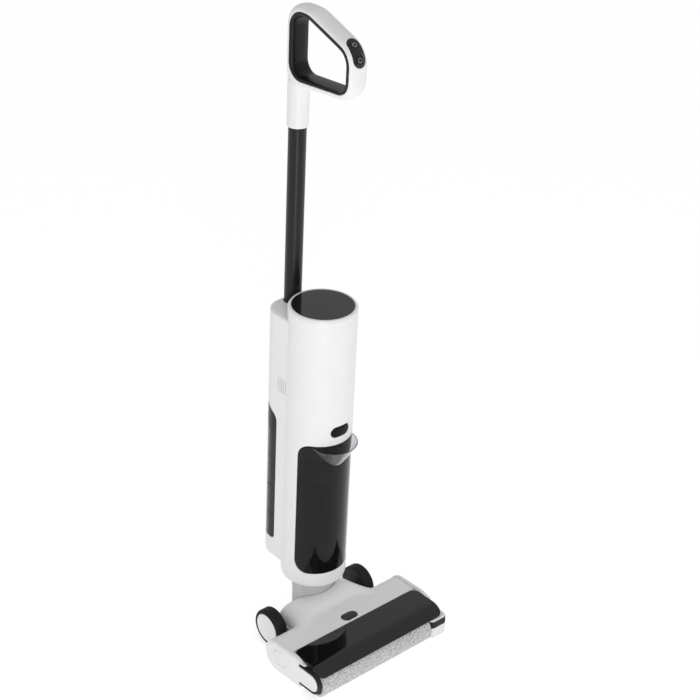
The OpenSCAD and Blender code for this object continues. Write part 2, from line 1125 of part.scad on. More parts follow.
module right_bumper() {
  color(dark)
    in_head()
      translate([0, 0, band_low])
        linear_extrude(band_high - band_low)
          difference() {
            intersection() {
              drive_plan(0.6);
              union() {
                translate([drive_wall - 2, bumper_front])
                  square([far, 9]);
                translate([head_half - 20, bumper_front])
                  square([far, 46]);
              }
            }
            drive_plan();
          }
}

module roller_core() {
  color(white)
    in_head()
      difference() {
        rod_x(core_r, roller_left, roller_right, roller_y, roller_z);
        rod_x(core_bore, roller_left + 10, roller_right - 10, roller_y, roller_z);
        rod_x(pin_r + run, roller_left - 1, roller_left + 11, roller_y, roller_z);
        translate([0, roller_y, roller_z])
          block(roller_right - 11, roller_right + 1, -square_half - gap, square_half + gap,
            -square_half - gap, square_half + gap);
      }
}

module roller_sleeve() {
  color(fleece)
    in_head()
      difference() {
        rod_x(roller_r, roller_left, roller_right, roller_y, roller_z);
        rod_x(core_r, roller_left - 1, roller_right + 1, roller_y, roller_z);
      }
}

module roller_pin() {
  color(steel)
    in_head()
      rod_x(pin_r, -head_half + 2, roller_left + 10, roller_y, roller_z);
}

module drive_pulley() {
  color(dark)
    in_head()
      difference() {
        union() {
          rod_x(large_pulley_r, pulley_x, pulley_x + pulley_w, roller_y, roller_z);
          translate([0, roller_y, roller_z])
            block(roller_right - 9, pulley_x + 1, -square_half, square_half, -square_half,
              square_half);
        }
        rod_x(stub_r + run, pulley_x - 1, pulley_x + pulley_w + 1, roller_y, roller_z);
      }
}

module motor_pulley() {
  color(steel)
    in_head() {
      rod_x(small_pulley_r, pulley_x, pulley_x + pulley_w, motor_y, motor_z);
      rod_x(line_r, motor_left + 18, pulley_x + 1, motor_y, motor_z);
    }
}

// Loop round two circles, the larger at the origin and the smaller at distance d along X
function belt_loop(r1, r2, d) =
  let (lap = acos((r1 - r2) / d))
  [
    for (i = [0:24]) r1 * [cos(lap + i * (360 - 2 * lap) / 24), sin(lap + i * (360 - 2 * lap) / 24)],
    for (i = [-12:12]) [d, 0] + r2 * [cos(i * lap / 12), sin(i * lap / 12)]
  ];

module drive_belt() {
  reach = [motor_y - roller_y, motor_z - roller_z];
  color(black)
    in_head()
      translate([0, roller_y, roller_z])
        along_x(pulley_x + 1, pulley_x + pulley_w - 1)
          rotate(atan2(reach[1], reach[0]))
            difference() {
              polygon(belt_loop(
                large_pulley_r + belt_t + gap, small_pulley_r + belt_t + gap, norm(reach)));
              polygon(belt_loop(large_pulley_r + gap, small_pulley_r + gap, norm(reach)));
            }
}

module roller_motor() {
  color(steel)
    in_head()
      difference() {
        rod_x(motor_body_r, motor_left, motor_right, motor_y, motor_z);
        rod_x(line_r + run, motor_left + 17, motor_right + 1, motor_y, motor_z);
      }
}

module scraper() {
  color(dark)
    in_head()
      block(-132, 104, seam_y - 6.2, seam_y - 3, 29.5, 32.5);
}

module squeegee() {
  color(black)
    in_head()
      block(-132, 104, seam_y - 3, seam_y - 0.6, 0.6, side_low + 1);
}

module spray_bar() {
  color(grey)
    in_head()
      difference() {
        block(-118, 94, seam_y - 14, seam_y - 3, spray_low, spray_high);
        for (i = [-4:4])
          translate([i * spray_pitch - spray_pitch / 2, seam_y - 11, 0])
            post(1, spray_low - 1, spray_high + 1);
      }
}

module suction_duct() {
  color(grey)
    in_head() {
      difference() {
        block(-duct_half, duct_half, seam_y - 0.5, -30, duct_low, duct_high);
        block(duct_wall - duct_half, duct_half - duct_wall, seam_y - 1, -29, duct_low + duct_wall,
          duct_high - duct_wall);
      }
      // post under the cover button's spring
      post(8, duct_high, pill_low - 10, 0, pill_y);
    }
}

// Rubber tyre of one wheel, from x0 outwards
module tyre(x0) {
  color(black)
    in_head()
      difference() {
        rod_x(wheel_r, x0, x0 + wheel_w, axle_y, axle_z);
        rod_x(wheel_r - 6, x0 - 1, x0 + wheel_w + 1, axle_y, axle_z);
      }
}

// Hub of one wheel: bored from its inner side, closed on its outer side
module hub(x0, side) {
  color(white)
    in_head()
      difference() {
        rod_x(wheel_r - 6, x0 + 0.5, x0 + wheel_w - 0.5, axle_y, axle_z);
        rod_x(pin_r + run, side > 0 ? x0 : -axle_x - 0.3, side > 0 ? axle_x + 0.3 : -x0, axle_y, axle_z);
      }
}

module left_tyre() tyre(-wheel_x - wheel_w);

module right_tyre() tyre(wheel_x);

module left_hub() hub(-wheel_x - wheel_w, -1);

module right_hub() hub(wheel_x, 1);

// Two short shafts, each carrying one side of the neck and one wheel
module axles() {
  color(steel)
    in_head() {
      rod_x(pin_r, -axle_x, -20, axle_y, axle_z);
      rod_x(pin_r, 20, axle_x, axle_y, axle_z);
    }
}

module charging_contacts() {
  color(copper)
    in_head()
      for (x = [-contact_x, contact_x])
        translate([x, hump_y + hump_r, 0])
          block(-contact_half, contact_half, 0, 0.6, contact_low, contact_high);
}

module head_screws() {
  color(steel)
    in_head()
      for (p = screw_spots)
        post(screw_r, side_low + 1.2, screw_high, p[0], p[1]);
}

module neck() {
  color(grey)
    difference() {
      union() {
        in_head()
          rod_x(barrel_r, 0.5 - neck_half, neck_half - 0.5, axle_y, axle_z);
        in_body() {
          translate([0, 0, neck_low])
            linear_extrude(-neck_low - gap)
              neck_plan();
          post(neck_top_r, -1, spigot_high);
        }
      }
      in_body()
        post(hose_r + run, -84, 10);
      in_head() {
        rod_x(pin_r + run, -neck_half - 1, -19, axle_y, axle_z);
        rod_x(pin_r + run, 19, neck_half + 1, axle_y, axle_z);
        translate([0, axle_y, 22])
          rotate([90, 0, 0])
            cylinder(r = 8, h = 30);
      }
    }
}

module swivel_ring() {
  color(dark)
    in_body()
      difference() {
        post(ring_r, floor_t + gap, ring_high);
        post(neck_top_r, 0, ring_high + 1);
      }
}

module neck_hose() {
  color(dark)
    in_body()
      difference() {
        post(hose_r, hose_low, hose_high);
        post(hose_r - 2, hose_low - 1, hose_high + 1);
      }
}

head_base();
head_top();
roller_cover();
cover_button();
button_spring();
left_end_cap();
left_bumper();
cap_button();
right_end_cap();
right_bumper();
roller_core();
roller_sleeve();
roller_pin();
drive_pulley();
motor_pulley();
drive_belt();
roller_motor();
scraper();
squeegee();
spray_bar();
suction_duct();
left_tyre();
left_hub();
right_tyre();
right_hub();
axles();
charging_contacts();
head_screws();
neck();
swivel_ring();
neck_hose();
front_shell();
rear_shell();
inner_frame();
lid_lens();
display_board();
battery_cells();
suction_motor();
fan_housing();
fan_impeller();
main_board();
exhaust_filters();
water_pump();
water_line();
tube_socket();
tank_button();
dirty_tank();
dirty_tank_lid();
tank_spout();
standpipe();
tank_float();
tank_filter();
clean_tank();
clean_tank_cap();
tube();
handle_shell();
handle_grip();
handle_panel();
power_button();
mode_button();
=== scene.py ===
import json
import math

import bmesh
import bpy
import numpy as np
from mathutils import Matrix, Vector
from mathutils.geometry import delaunay_2d_cdt

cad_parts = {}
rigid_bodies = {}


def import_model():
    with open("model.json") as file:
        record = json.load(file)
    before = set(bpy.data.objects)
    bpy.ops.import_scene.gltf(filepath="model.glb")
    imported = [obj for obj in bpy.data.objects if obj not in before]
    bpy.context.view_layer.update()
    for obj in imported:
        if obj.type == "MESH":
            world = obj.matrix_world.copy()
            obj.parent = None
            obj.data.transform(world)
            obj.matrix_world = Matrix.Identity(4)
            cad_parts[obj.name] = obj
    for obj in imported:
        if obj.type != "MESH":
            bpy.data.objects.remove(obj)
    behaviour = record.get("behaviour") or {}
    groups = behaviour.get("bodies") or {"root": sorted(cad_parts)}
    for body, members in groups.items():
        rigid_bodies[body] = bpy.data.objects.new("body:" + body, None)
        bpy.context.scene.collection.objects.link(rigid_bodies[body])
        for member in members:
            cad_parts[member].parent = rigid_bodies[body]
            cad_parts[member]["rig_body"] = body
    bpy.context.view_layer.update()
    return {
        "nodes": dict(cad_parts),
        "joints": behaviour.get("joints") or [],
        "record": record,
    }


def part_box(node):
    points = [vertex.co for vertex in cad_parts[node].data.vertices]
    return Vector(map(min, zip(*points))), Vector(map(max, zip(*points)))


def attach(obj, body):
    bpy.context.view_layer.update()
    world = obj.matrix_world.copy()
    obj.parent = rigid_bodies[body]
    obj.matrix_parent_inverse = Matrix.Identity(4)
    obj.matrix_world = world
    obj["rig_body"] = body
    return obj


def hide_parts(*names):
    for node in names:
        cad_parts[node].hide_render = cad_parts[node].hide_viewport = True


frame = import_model()

# Places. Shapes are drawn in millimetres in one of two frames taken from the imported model: the
# leaning body frame (x, y to the rear, s along the body) and the head frame (x, y, z).
MM = 0.001
joints = {j["name"]: j for j in frame["joints"]}
FOOT = np.array(joints["swivel"]["pos_m"])
UP = np.array(joints["swivel"]["axis"])
BACK = np.array([0.0, UP[2], -UP[1]])
RIGHT = np.array([1.0, 0.0, 0.0])
AXES = np.array([RIGHT, BACK, UP])


def to_body(x, y, s):
    """Body frame in millimetres to the row frame in metres."""
    return FOOT + MM * (np.multiply.outer(x, RIGHT) + np.multiply.outer(y, BACK) + np.multiply.outer(s, UP))


def to_head(x, y, z):
    """Head frame in millimetres to the row frame in metres."""
    x, y, z = np.broadcast_arrays(x, y, z)
    return np.stack([x * MM, FOOT[1] + y * MM, z * MM], -1)


def points_of(node):
    """Vertices of a CAD node, in the row frame."""
    mesh = frame["nodes"][node].data
    co = np.empty(len(mesh.vertices) * 3, np.float32)
    mesh.vertices.foreach_get("co", co)
    return co.reshape(-1, 3).astype(float)


def body_span(node):
    """Lowest and highest corner of a node in the body frame, in millimetres."""
    local = (points_of(node) - FOOT) @ AXES.T / MM
    return local.min(0), local.max(0)


def head_span(node):
    """Lowest and highest corner of a node in the head frame, in millimetres."""
    low, high = (np.array(corner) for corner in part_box(node))
    shift = np.array([0.0, FOOT[1], 0.0])
    return (low - shift) / MM, (high - shift) / MM


# Outlines
def corner_arc(a, b, c, steps):
    """Points and left-hand normals of one rounded corner b = (x, y, radius) between a and c."""
    first = math.atan2(b[1] - a[1], b[0] - a[0])
    last = math.atan2(c[1] - b[1], c[0] - b[0])
    turn = (last - first + math.pi) % (2 * math.pi) - math.pi
    radius = b[2] if len(b) > 2 else 0
    if radius == 0 or abs(turn) < 1e-6:
        middle = first + turn / 2
        return [((b[0], b[1]), (-math.sin(middle), math.cos(middle)))]
    reach = radius * math.tan(abs(turn) / 2)
    side = math.copysign(radius, turn)
    start = (b[0] - reach * math.cos(first), b[1] - reach * math.sin(first))
    centre = (start[0] - side * math.sin(first), start[1] + side * math.cos(first))
    found = []
    for i in range(steps + 1):
        angle = first + turn * i / steps
        normal = (-math.sin(angle), math.cos(angle))
        found.append(((centre[0] - side * normal[0], centre[1] - side * normal[1]), normal))
    return found


def rounded(corners, steps=8):
    """Closed outline with rounded corners, each corner given as (x, y, radius)."""
    n = len(corners)
    arcs = [corner_arc(corners[i - 1], corners[i], corners[(i + 1) % n], steps) for i in range(n)]
    points = np.array([point for arc in arcs for point, _ in arc])
    return points[np.linalg.norm(points - np.roll(points, 1, 0), axis=1) > 1e-6]


def pill(half_x, half_y, x=0.0, y=0.0, steps=14):
    """Lozenge whose shorter sides are round."""
    r = min(half_x, half_y)
    return rounded([(x - half_x, y - half_y, r), (x + half_x, y - half_y, r),
                    (x + half_x, y + half_y, r), (x - half_x, y + half_y, r)], steps)


def ring(radius, x=0.0, y=0.0, count=48):
    turn = np.arange(count) * 2 * np.pi / count
    return np.stack([x + radius * np.cos(turn), y + radius * np.sin(turn)], -1)


class Track:
    """Open path of straight stretches and round corners, measured along its length."""

    def __init__(self, corners, outward, start=0.0, steps=12):
        """outward is 1 where the outer side is to the left of the path, and -1 to its right."""
        rows = [(tuple(corners[0][:2]), None)]
        for i in range(1, len(corners) - 1):
            rows += corner_arc(corners[i - 1], corners[i], corners[i + 1], steps)
        rows.append((tuple(corners[-1][:2]), None))
        self.points = np.array([p for p, _ in rows])
        steps_along = np.diff(self.points, axis=0)
        ends = steps_along[[0, -1]] / np.linalg.norm(steps_along[[0, -1]], axis=1)[:, None]
        normals = [(-ends[0][1], ends[0][0])] + [n for _, n in rows[1:-1]] + [(-ends[1][1], ends[1][0])]
        self.normals = outward * np.array(normals)
        self.t = start + np.concatenate([[0], np.cumsum(np.linalg.norm(steps_along, axis=1))])

    def at(self, t, depth=0.0):
        """Points at lengths t, set back from the outer side by depth."""
        found = [np.interp(t, self.t, self.points[:, k]) for k in (0, 1)]
        normal = [np.interp(t, self.t, self.normals[:, k]) for k in (0, 1)]
        size = np.hypot(*normal)
        return [found[k] - depth * normal[k] / size for k in (0, 1)]


def signed_area(loop):
    x, y = loop[:, 0], loop[:, 1]
    return 0.5 * np.sum(x * np.roll(y, -1) - y * np.roll(x, -1))


def inset(loop, distance):
    """A closed outline moved to its left by distance."""
    before = loop - np.roll(loop, 1, 0)
    after = np.roll(loop, -1, 0) - loop
    before /= np.linalg.norm(before, axis=1)[:, None]
    after /= np.linalg.norm(after, axis=1)[:, None]
    n1 = np.stack([-before[:, 1], before[:, 0]], -1)
    n2 = np.stack([-after[:, 1], after[:, 0]], -1)
    along = n1 + n2
    along /= (1 + np.sum(n1 * n2, 1))[:, None]
    return loop + distance * along


def clearance(points, loop):
    """Distance from each point to the nearest side of a closed outline."""
    a, b = loop, np.roll(loop, -1, 0)
    along = b - a
    length = np.maximum(np.sum(along ** 2, 1), 1e-12)
    reach = points[:, None, :] - a[None]
    share = np.clip(np.sum(reach * along, 2) / length, 0, 1)
    return np.sqrt(np.min(np.sum((reach - share[..., None] * along) ** 2, 2), 1))


def clean_inset(loop, distance):
    """Inset outline without the loops that form at corners tighter than the distance."""
    moved = inset(loop, distance)
    return moved[clearance(moved, loop) > distance - 0.02]


def divided(loop, longest):
    """A closed outline with no side longer than longest."""
    found = []
    for a, b in zip(loop, np.roll(loop, -1, 0)):
        parts = max(1, math.ceil(np.linalg.norm(b - a) / longest))
        found += [a + (b - a) * i / parts for i in range(parts)]
    return np.array(found)


def inside(points, loop):
    """Which points lie within a closed outline."""
    x, y = points[:, 0, None], points[:, 1, None]
    a, b = loop, np.roll(loop, -1, 0)
    crosses = (a[:, 1] > y) != (b[:, 1] > y)
    rise = np.where(b[:, 1] == a[:, 1], 1e-12, b[:, 1] - a[:, 1])
    left = x < (b[:, 0] - a[:, 0]) * (y - a[:, 1]) / rise + a[:, 0]
    return np.sum(crosses & left, 1) % 2 == 1


# Mesh builders
def new_object(name, data):
    made = bpy.data.objects.new(name, data)
    bpy.context.scene.collection.objects.link(made)
    return made


def finished(name, verts, faces, body, slot, replaces=(), crease=35, look=None, weighted=True):
    """A piece with outward faces, smooth between its creases, riding on a body."""
    mesh = bpy.data.meshes.new(name)
    mesh.from_pydata([tuple(v) for v in verts], [], [tuple(int(i) for i in f) for f in faces])
    bm = bmesh.new()
    bm.from_mesh(mesh)
    bmesh.ops.remove_doubles(bm, verts=bm.verts, dist=1e-7)
    bmesh.ops.dissolve_degenerate(bm, edges=bm.edges, dist=1e-7)
    bmesh.ops.recalc_face_normals(bm, faces=bm.faces)
    for face in bm.faces:
        face.smooth = True
    for edge in bm.edges:
        if len(edge.link_faces) == 2 and edge.calc_face_angle() > math.radians(crease):
            edge.smooth = False
    bm.to_mesh(mesh)
    bm.free()
    obj = new_object(name, mesh)
    mesh.materials.append(look or LOOKS[slot])
    if weighted:
        obj.modifiers.new("weighted normals", "WEIGHTED_NORMAL").keep_sharp = True
    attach(obj, body)
    if replaces:
        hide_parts(*replaces)
    return obj


def soft_edge(radius, thick, steps=4):
    """Rim of a sheet from its back to its face: (inset, depth) pairs with a quarter round."""
    turns = [math.pi / 2 * i / steps for i in range(steps + 1)]
    return [(0, thick)] + [(radius * (1 - math.cos(a)), radius * (1 - math.sin(a))) for a in turns]


def spaced(points, first, apart):
    """Points without those that crowd an earlier one. The first ones all stay."""
    kept = list(points[:first])
    for p in points[first:]:
        if np.min(np.sum((np.array(kept) - p) ** 2, 1)) > apart ** 2:
            kept.append(p)
    return np.array(kept)


def sheet_mesh(outer, holes, wrap, rim, hole_rim, cell, columns=None, rows=None, relief=()):
    """Closed sheet drawn flat and wrapped onto a surface: wrap(u, v, depth) gives its points.

    Its rims are (inset, depth) steps from the back to the face. Relief gives the face's depth
    at distances inwards from the outer outline, and each distance gets its own ring of points.
    """
    contours = [outer if signed_area(outer) > 0 else outer[::-1]]
    contours += [h if signed_area(h) < 0 else h[::-1] for h in holes]
    contours = [divided(c, cell) for c in contours]
    verts, faces, flat, face_ids, back_ids = [], [], [], [], []

    def add(points, depth):
        first = len(verts)
        verts.extend(wrap(points[:, 0], points[:, 1], depth))
        return list(range(first, first + len(points)))

    def depth_of(points):
        if not relief:
            return rim[-1][1]
        return np.interp(clearance(points, contours[0]), *zip(*relief))

    for k, contour in enumerate(contours):
        levels = [add(inset(contour, d), depth) for d, depth in (hole_rim if k else rim)]
        for low, high in zip(levels, levels[1:]):
            for i in range(len(contour)):
                j = (i + 1) % len(contour)
                faces.append((low[i], low[j], high[j], high[i]))
        flat.append(inset(contour, (hole_rim if k else rim)[-1][0]))
        face_ids += levels[-1]
        back_ids += levels[0]
    low, high = flat[0].min(0), flat[0].max(0)
    columns = np.arange(low[0] + cell / 2, high[0], cell) if columns is None else columns
    rows = np.arange(low[1] + cell / 2, high[1], cell) if rows is None else rows
    grid = np.stack(np.meshgrid(columns, rows), -1).reshape(-1, 2).astype(float)
    grid = grid[inside(grid, flat[0])]
    for hole in flat[1:]:
        grid = grid[~inside(grid, hole)]
    edge_points = np.concatenate(flat)
    rings = [clean_inset(contours[0], distance) for distance, _ in relief[1:]]
    kept_away = spaced(np.concatenate([edge_points] + rings), len(edge_points), 0.15)
    near = np.array([np.min(np.sum((kept_away - p) ** 2, 1)) for p in grid])
    grid = np.concatenate([kept_away[len(edge_points):], grid[near > (0.45 * cell) ** 2]])
    thick = rim[0][1]
    face_ids += add(grid, depth_of(grid))
    back_ids += add(grid, thick)
    edges, first = [], 0
    for loop in flat:
        edges += [(first + i, first + (i + 1) % len(loop)) for i in range(len(loop))]
        first += len(loop)
    points = np.concatenate([edge_points, grid])
    out_points, _, triangles, origins, _, _ = delaunay_2d_cdt(
        [Vector(p) for p in points], edges, [], 0, 1e-5)
    source = [o[0] if o else -1 for o in origins]
    middles = np.array([np.mean([out_points[i] for i in t], axis=0) for t in triangles])
    kept = inside(middles, flat[0])
    for hole in flat[1:]:
        kept &= ~inside(middles, hole)
    for triangle, keep in zip(triangles, kept):
        ids = [source[i] for i in triangle]
        if keep and -1 not in ids:
            faces.append(tuple(face_ids[i] for i in ids))
            faces.append(tuple(back_ids[i] for i in reversed(ids)))
    return verts, faces


def sheet(name, outer, wrap, body, slot, holes=(), rim=None, hole_rim=None, cell=4.0, thick=2.6,
          edge=0.6, columns=None, rows=None, relief=(), **more):
    rim = rim or soft_edge(edge, thick)
    hole_rim = hole_rim or rim
    verts, faces = sheet_mesh(np.array(outer), [np.array(h) for h in holes], wrap, rim, hole_rim,
                              cell, columns, rows, relief)
    return finished(name, verts, faces, body, slot, **more)


def skin(rings, closed=True):
    """Points and faces over rings of equal count. Closed joins the last ring to the first."""
    count = len(rings[0])
    faces = []
    for k in range(len(rings) if closed else len(rings) - 1):
        m = (k + 1) % len(rings)
        for i in range(count):
            j = (i + 1) % count
            faces.append((k * count + i, k * count + j, m * count + j, m * count + i))
    return [p for loop in rings for p in loop], faces


def loft_mesh(rings):
    """Skin over rings of equal count, with its ends filled."""
    verts, faces = skin(rings, closed=False)
    count = len(rings[0])
    faces.append(tuple(range(count)))
    faces.append(tuple(range(len(verts) - 1, len(verts) - count - 1, -1)))
    return verts, faces


def turned_mesh(profile, place, count=96):
    """Closed profile of (radius, height) turned about an axis: place(a, b, height)."""
    turn = np.arange(count) * 2 * np.pi / count
    return skin([place(r * np.cos(turn), r * np.sin(turn), np.full(count, h)) for r, h in profile])


def turned(name, profile, place, body, slot, count=96, **more):
    return finished(name, *turned_mesh(profile, place, count), body, slot, **more)


def along_x(y0, z0):
    """Turning about an axis along X through (y0, z0) of the head."""
    return lambda a, b, h: to_head(h, y0 + a, z0 + b)


def along_body(x0, y0):
    """Turning about an axis along the body through (x0, y0) of its plan."""
    return lambda a, b, h: to_body(x0 + a, y0 + b, h)


def refined(node, width):
    """A CAD node's shape with its edges broken and its round faces shaded smooth."""
    source = frame["nodes"][node]
    crease = math.radians(30)
    bm = bmesh.new()
    bm.from_mesh(source.data)
    bmesh.ops.remove_doubles(bm, verts=bm.verts, dist=2e-5)
    bmesh.ops.dissolve_degenerate(bm, edges=bm.edges, dist=1e-6)
    bmesh.ops.dissolve_limit(bm, angle_limit=math.radians(0.4), verts=bm.verts, edges=bm.edges)
    for face in bm.faces:
        face.smooth = True
    for edge in bm.edges:
        if len(edge.link_faces) == 2 and edge.calc_face_angle() > crease:
            edge.smooth = True
    mesh = bpy.data.meshes.new(node + ".fine")
    bm.to_mesh(mesh)
    bm.free()
    obj = new_object(node + ".fine", mesh)
    mesh.materials.append(LOOKS[SLOT_OF[node]])
    bevel = obj.modifiers.new("edges", "BEVEL")
    bevel.width = width * MM
    bevel.segments = 2
    bevel.limit_method = "ANGLE"
    bevel.angle_limit = crease
    obj.modifiers.new("weighted normals", "WEIGHTED_NORMAL").keep_sharp = True
    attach(obj, source["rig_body"])
    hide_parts(node)


# Materials
def material(name, colour, rough, tint=0.03, tint_scale=35.0, rough_spread=0.04, rough_scale=220.0,
             grain=0.25, grain_scale=420.0, grain_depth=2e-6, stretch=(1, 1, 1), detail=3.0, **shader):
    """Principled surface whose colour, roughness and fine relief vary over the object."""
    made = bpy.data.materials.new(name)
    made.use_nodes = True
    tree = made.node_tree
    surface = tree.nodes["Principled BSDF"]
    for socket, value in shader.items():
        surface.inputs[socket.replace("_", " ").title().replace("Ior", "IOR")].default_value = value
    place = tree.nodes.new("ShaderNodeTexCoord")
    mapping = tree.nodes.new("ShaderNodeMapping")
    mapping.inputs["Scale"].default_value = stretch
    tree.links.new(place.outputs["Object"], mapping.inputs["Vector"])

    def noise(scale, octaves):
        node = tree.nodes.new("ShaderNodeTexNoise")
        node.inputs["Scale"].default_value = scale
        node.inputs["Detail"].default_value = octaves
        tree.links.new(mapping.outputs["Vector"], node.inputs["Vector"])
        return node.outputs["Fac"]

    ramp = tree.nodes.new("ShaderNodeValToRGB")
    ramp.color_ramp.elements[0].position = 0.3
    ramp.color_ramp.elements[1].position = 0.7
    ramp.color_ramp.elements[0].color = [c * (1 - tint) for c in colour] + [1]
    ramp.color_ramp.elements[1].color = [min(1, c * (1 + tint)) for c in colour] + [1]
    tree.links.new(noise(tint_scale, detail), ramp.inputs["Fac"])
    tree.links.new(ramp.outputs["Color"], surface.inputs["Base Color"])
    span = tree.nodes.new("ShaderNodeMapRange")
    span.inputs["From Min"].default_value = 0.3
    span.inputs["From Max"].default_value = 0.7
    span.inputs["To Min"].default_value = max(0.02, rough - rough_spread)
    span.inputs["To Max"].default_value = rough + rough_spread
    tree.links.new(noise(rough_scale, detail), span.inputs["Value"])
    tree.links.new(span.outputs["Result"], surface.inputs["Roughness"])
    bump = tree.nodes.new("ShaderNodeBump")
    bump.inputs["Strength"].default_value = grain
    bump.inputs["Distance"].default_value = grain_depth
    tree.links.new(noise(grain_scale, 2.0), bump.inputs["Height"])
    tree.links.new(bump.outputs["Normal"], surface.inputs["Normal"])
    return made


def fleece_material():
    """Short woven pile, mottled at random from dark grey to pale grey in grains about a millimetre wide."""
    made = material("fleece", (0.5, 0.5, 0.5), 0.92, grain=0.9, grain_scale=900.0, grain_depth=4e-4,
                    tint=0.45, tint_scale=620.0, detail=4.0, sheen_weight=0.3)
    ramp = next(n for n in made.node_tree.nodes if n.type == "VALTORGB")
    ramp.color_ramp.elements[0].position = 0.34
    ramp.color_ramp.elements[1].position = 0.6
    ramp.color_ramp.elements[0].color = (0.16, 0.16, 0.165, 1)
    ramp.color_ramp.elements[1].color = (0.74, 0.74, 0.74, 1)
    return made


WHITE = (0.8, 0.8, 0.797)
LOOKS = {
    "white_plastic": material("white_plastic", WHITE, 0.32, tint=0.012),
    "black_gloss": material("black_gloss", (0.006, 0.006, 0.007), 0.06, tint=0.1, rough_spread=0.02,
                            grain=0.04, rough_scale=60.0),
    "black_satin": material("black_satin", (0.007, 0.007, 0.0073), 0.3, tint=0.08, grain=0.2,
                            specular_ior_level=0.22),
    "grey_plastic": material("grey_plastic", (0.52, 0.52, 0.525), 0.38, tint=0.03),
    "smoked_tank": material("smoked_tank", (0.09, 0.09, 0.105), 0.04, tint=0.05, rough_spread=0.015,
                            rough_scale=40.0, grain=0.02, grain_scale=60.0, transmission_weight=0.95,
                            ior=1.3, specular_ior_level=0.22),
    "rubber": material("rubber", (0.009, 0.009, 0.0095), 0.5, tint=0.1, grain=0.3, grain_depth=3e-5,
                       specular_ior_level=0.3),
    "tyre": material("tyre", (0.009, 0.009, 0.009), 0.6, tint=0.12, grain=0.4, grain_depth=4e-5,
                     specular_ior_level=0.25),
    "fleece": fleece_material(),
    "filter_cloth": material("filter_cloth", (0.55, 0.55, 0.53), 0.95, tint=0.15, tint_scale=500.0,
                             grain=0.8, grain_scale=1200.0, grain_depth=2e-4),
    "tube_metal": material("tube_metal", (0.008, 0.008, 0.0083), 0.3, tint=0.06, specular_ior_level=0.3,
                           stretch=(1, 1, 0.06), rough_scale=900.0, grain=0.08, grain_scale=1600.0),
    "steel": material("steel", (0.56, 0.56, 0.57), 0.32, tint=0.05, metallic=1.0,
                      stretch=(0.1, 1, 1), grain=0.2, grain_scale=2200.0),
    "brass": material("brass", (0.68, 0.47, 0.2), 0.28, tint=0.06, metallic=1.0, grain=0.1),
    "board": material("board", (0.02, 0.14, 0.06), 0.4, tint=0.15, tint_scale=300.0, grain=0.2),
    "cell_wrap": material("cell_wrap", (0.06, 0.17, 0.34), 0.25, tint=0.08, grain=0.05),
}
SLOT_OF = {part["node"]: part["material_slot"] for part in frame["record"]["subparts"]}
for cad_name, cad_object in frame["nodes"].items():
    cad_object.data.materials.clear()
    cad_object.data.materials.append(LOOKS[SLOT_OF[cad_name]])

mark_grey = material("printed_mark", (0.5, 0.5, 0.51), 0.5, tint=0.05, grain=0.1)
clear_look = material("clear_smoke", (0.72, 0.72, 0.75), 0.05, tint=0.02, rough_spread=0.02,
                      rough_scale=40.0, grain=0.02, grain_scale=60.0, transmission_weight=0.95, ior=1.47)
key_look = material("key_black", (0.005, 0.005, 0.0055), 0.12, tint=0.08, rough_spread=0.02, grain=0.05,
                    specular_ior_level=0.12)
lens_look = material("display_glass", (0.01, 0.01, 0.011), 0.08, tint=0.05, rough_spread=0.02, grain=0.02)

# Upright body: front shell, rear shell and lid
shell_high = body_span("front_shell")[1]
rear_low, rear_high = body_span("rear_shell")
lens_low, lens_high = body_span("lid_lens")
key_low, key_high = body_span("tank_button")
cup_low = body_span("dirty_tank")[0]
lid_high = body_span("dirty_tank_lid")[1]

BODY_R = shell_high[0]
BODY_LEN = shell_high[2]
SIDE_X = rear_high[0]
REAR_Y = rear_high[1]
REAR_R = 36.0
WALL = 2.6
SPLIT_Y = math.sqrt(BODY_R ** 2 - SIDE_X ** 2)
SPLIT_U = BODY_R * math.acos(-SPLIT_Y / BODY_R)
BACK_SEAM = 0.03
HALF_TURN_U = BODY_R * math.pi - BACK_SEAM
FOOT_ROUND = 7.0
CROWN_ROUND = 4.0
FOOT_INNER = 30.0
rise = Track([(FOOT_INNER, 0), (BODY_R, 0, FOOT_ROUND), (BODY_R, BODY_LEN, CROWN_ROUND),
              (lens_high[0] + 0.25, BODY_LEN)], -1,
             start=FOOT_ROUND - (BODY_R - FOOT_ROUND - FOOT_INNER) - FOOT_ROUND * math.pi / 2)


def on_column(u, v, depth):
    """Round front of the body: u runs round it from the middle, v up it."""
    r, s = rise.at(v, depth)
    turn = u / BODY_R
    return to_body(r * np.sin(turn), -r * np.cos(turn), s)


WINDOW_LOW, WINDOW_HIGH = cup_low[2] - 0.5, lid_high[2] + 0.6
WINDOW_U = BODY_R * math.radians(76.5)
WINDOW_CORNER = 24.0


def window_outline(grow, low=WINDOW_LOW, high=WINDOW_HIGH):
    u, r = WINDOW_U + grow, WINDOW_CORNER + grow
    return rounded([(-u, low - grow, r), (u, low - grow, r), (u, high + grow, r), (-u, high + grow, r)], 12)


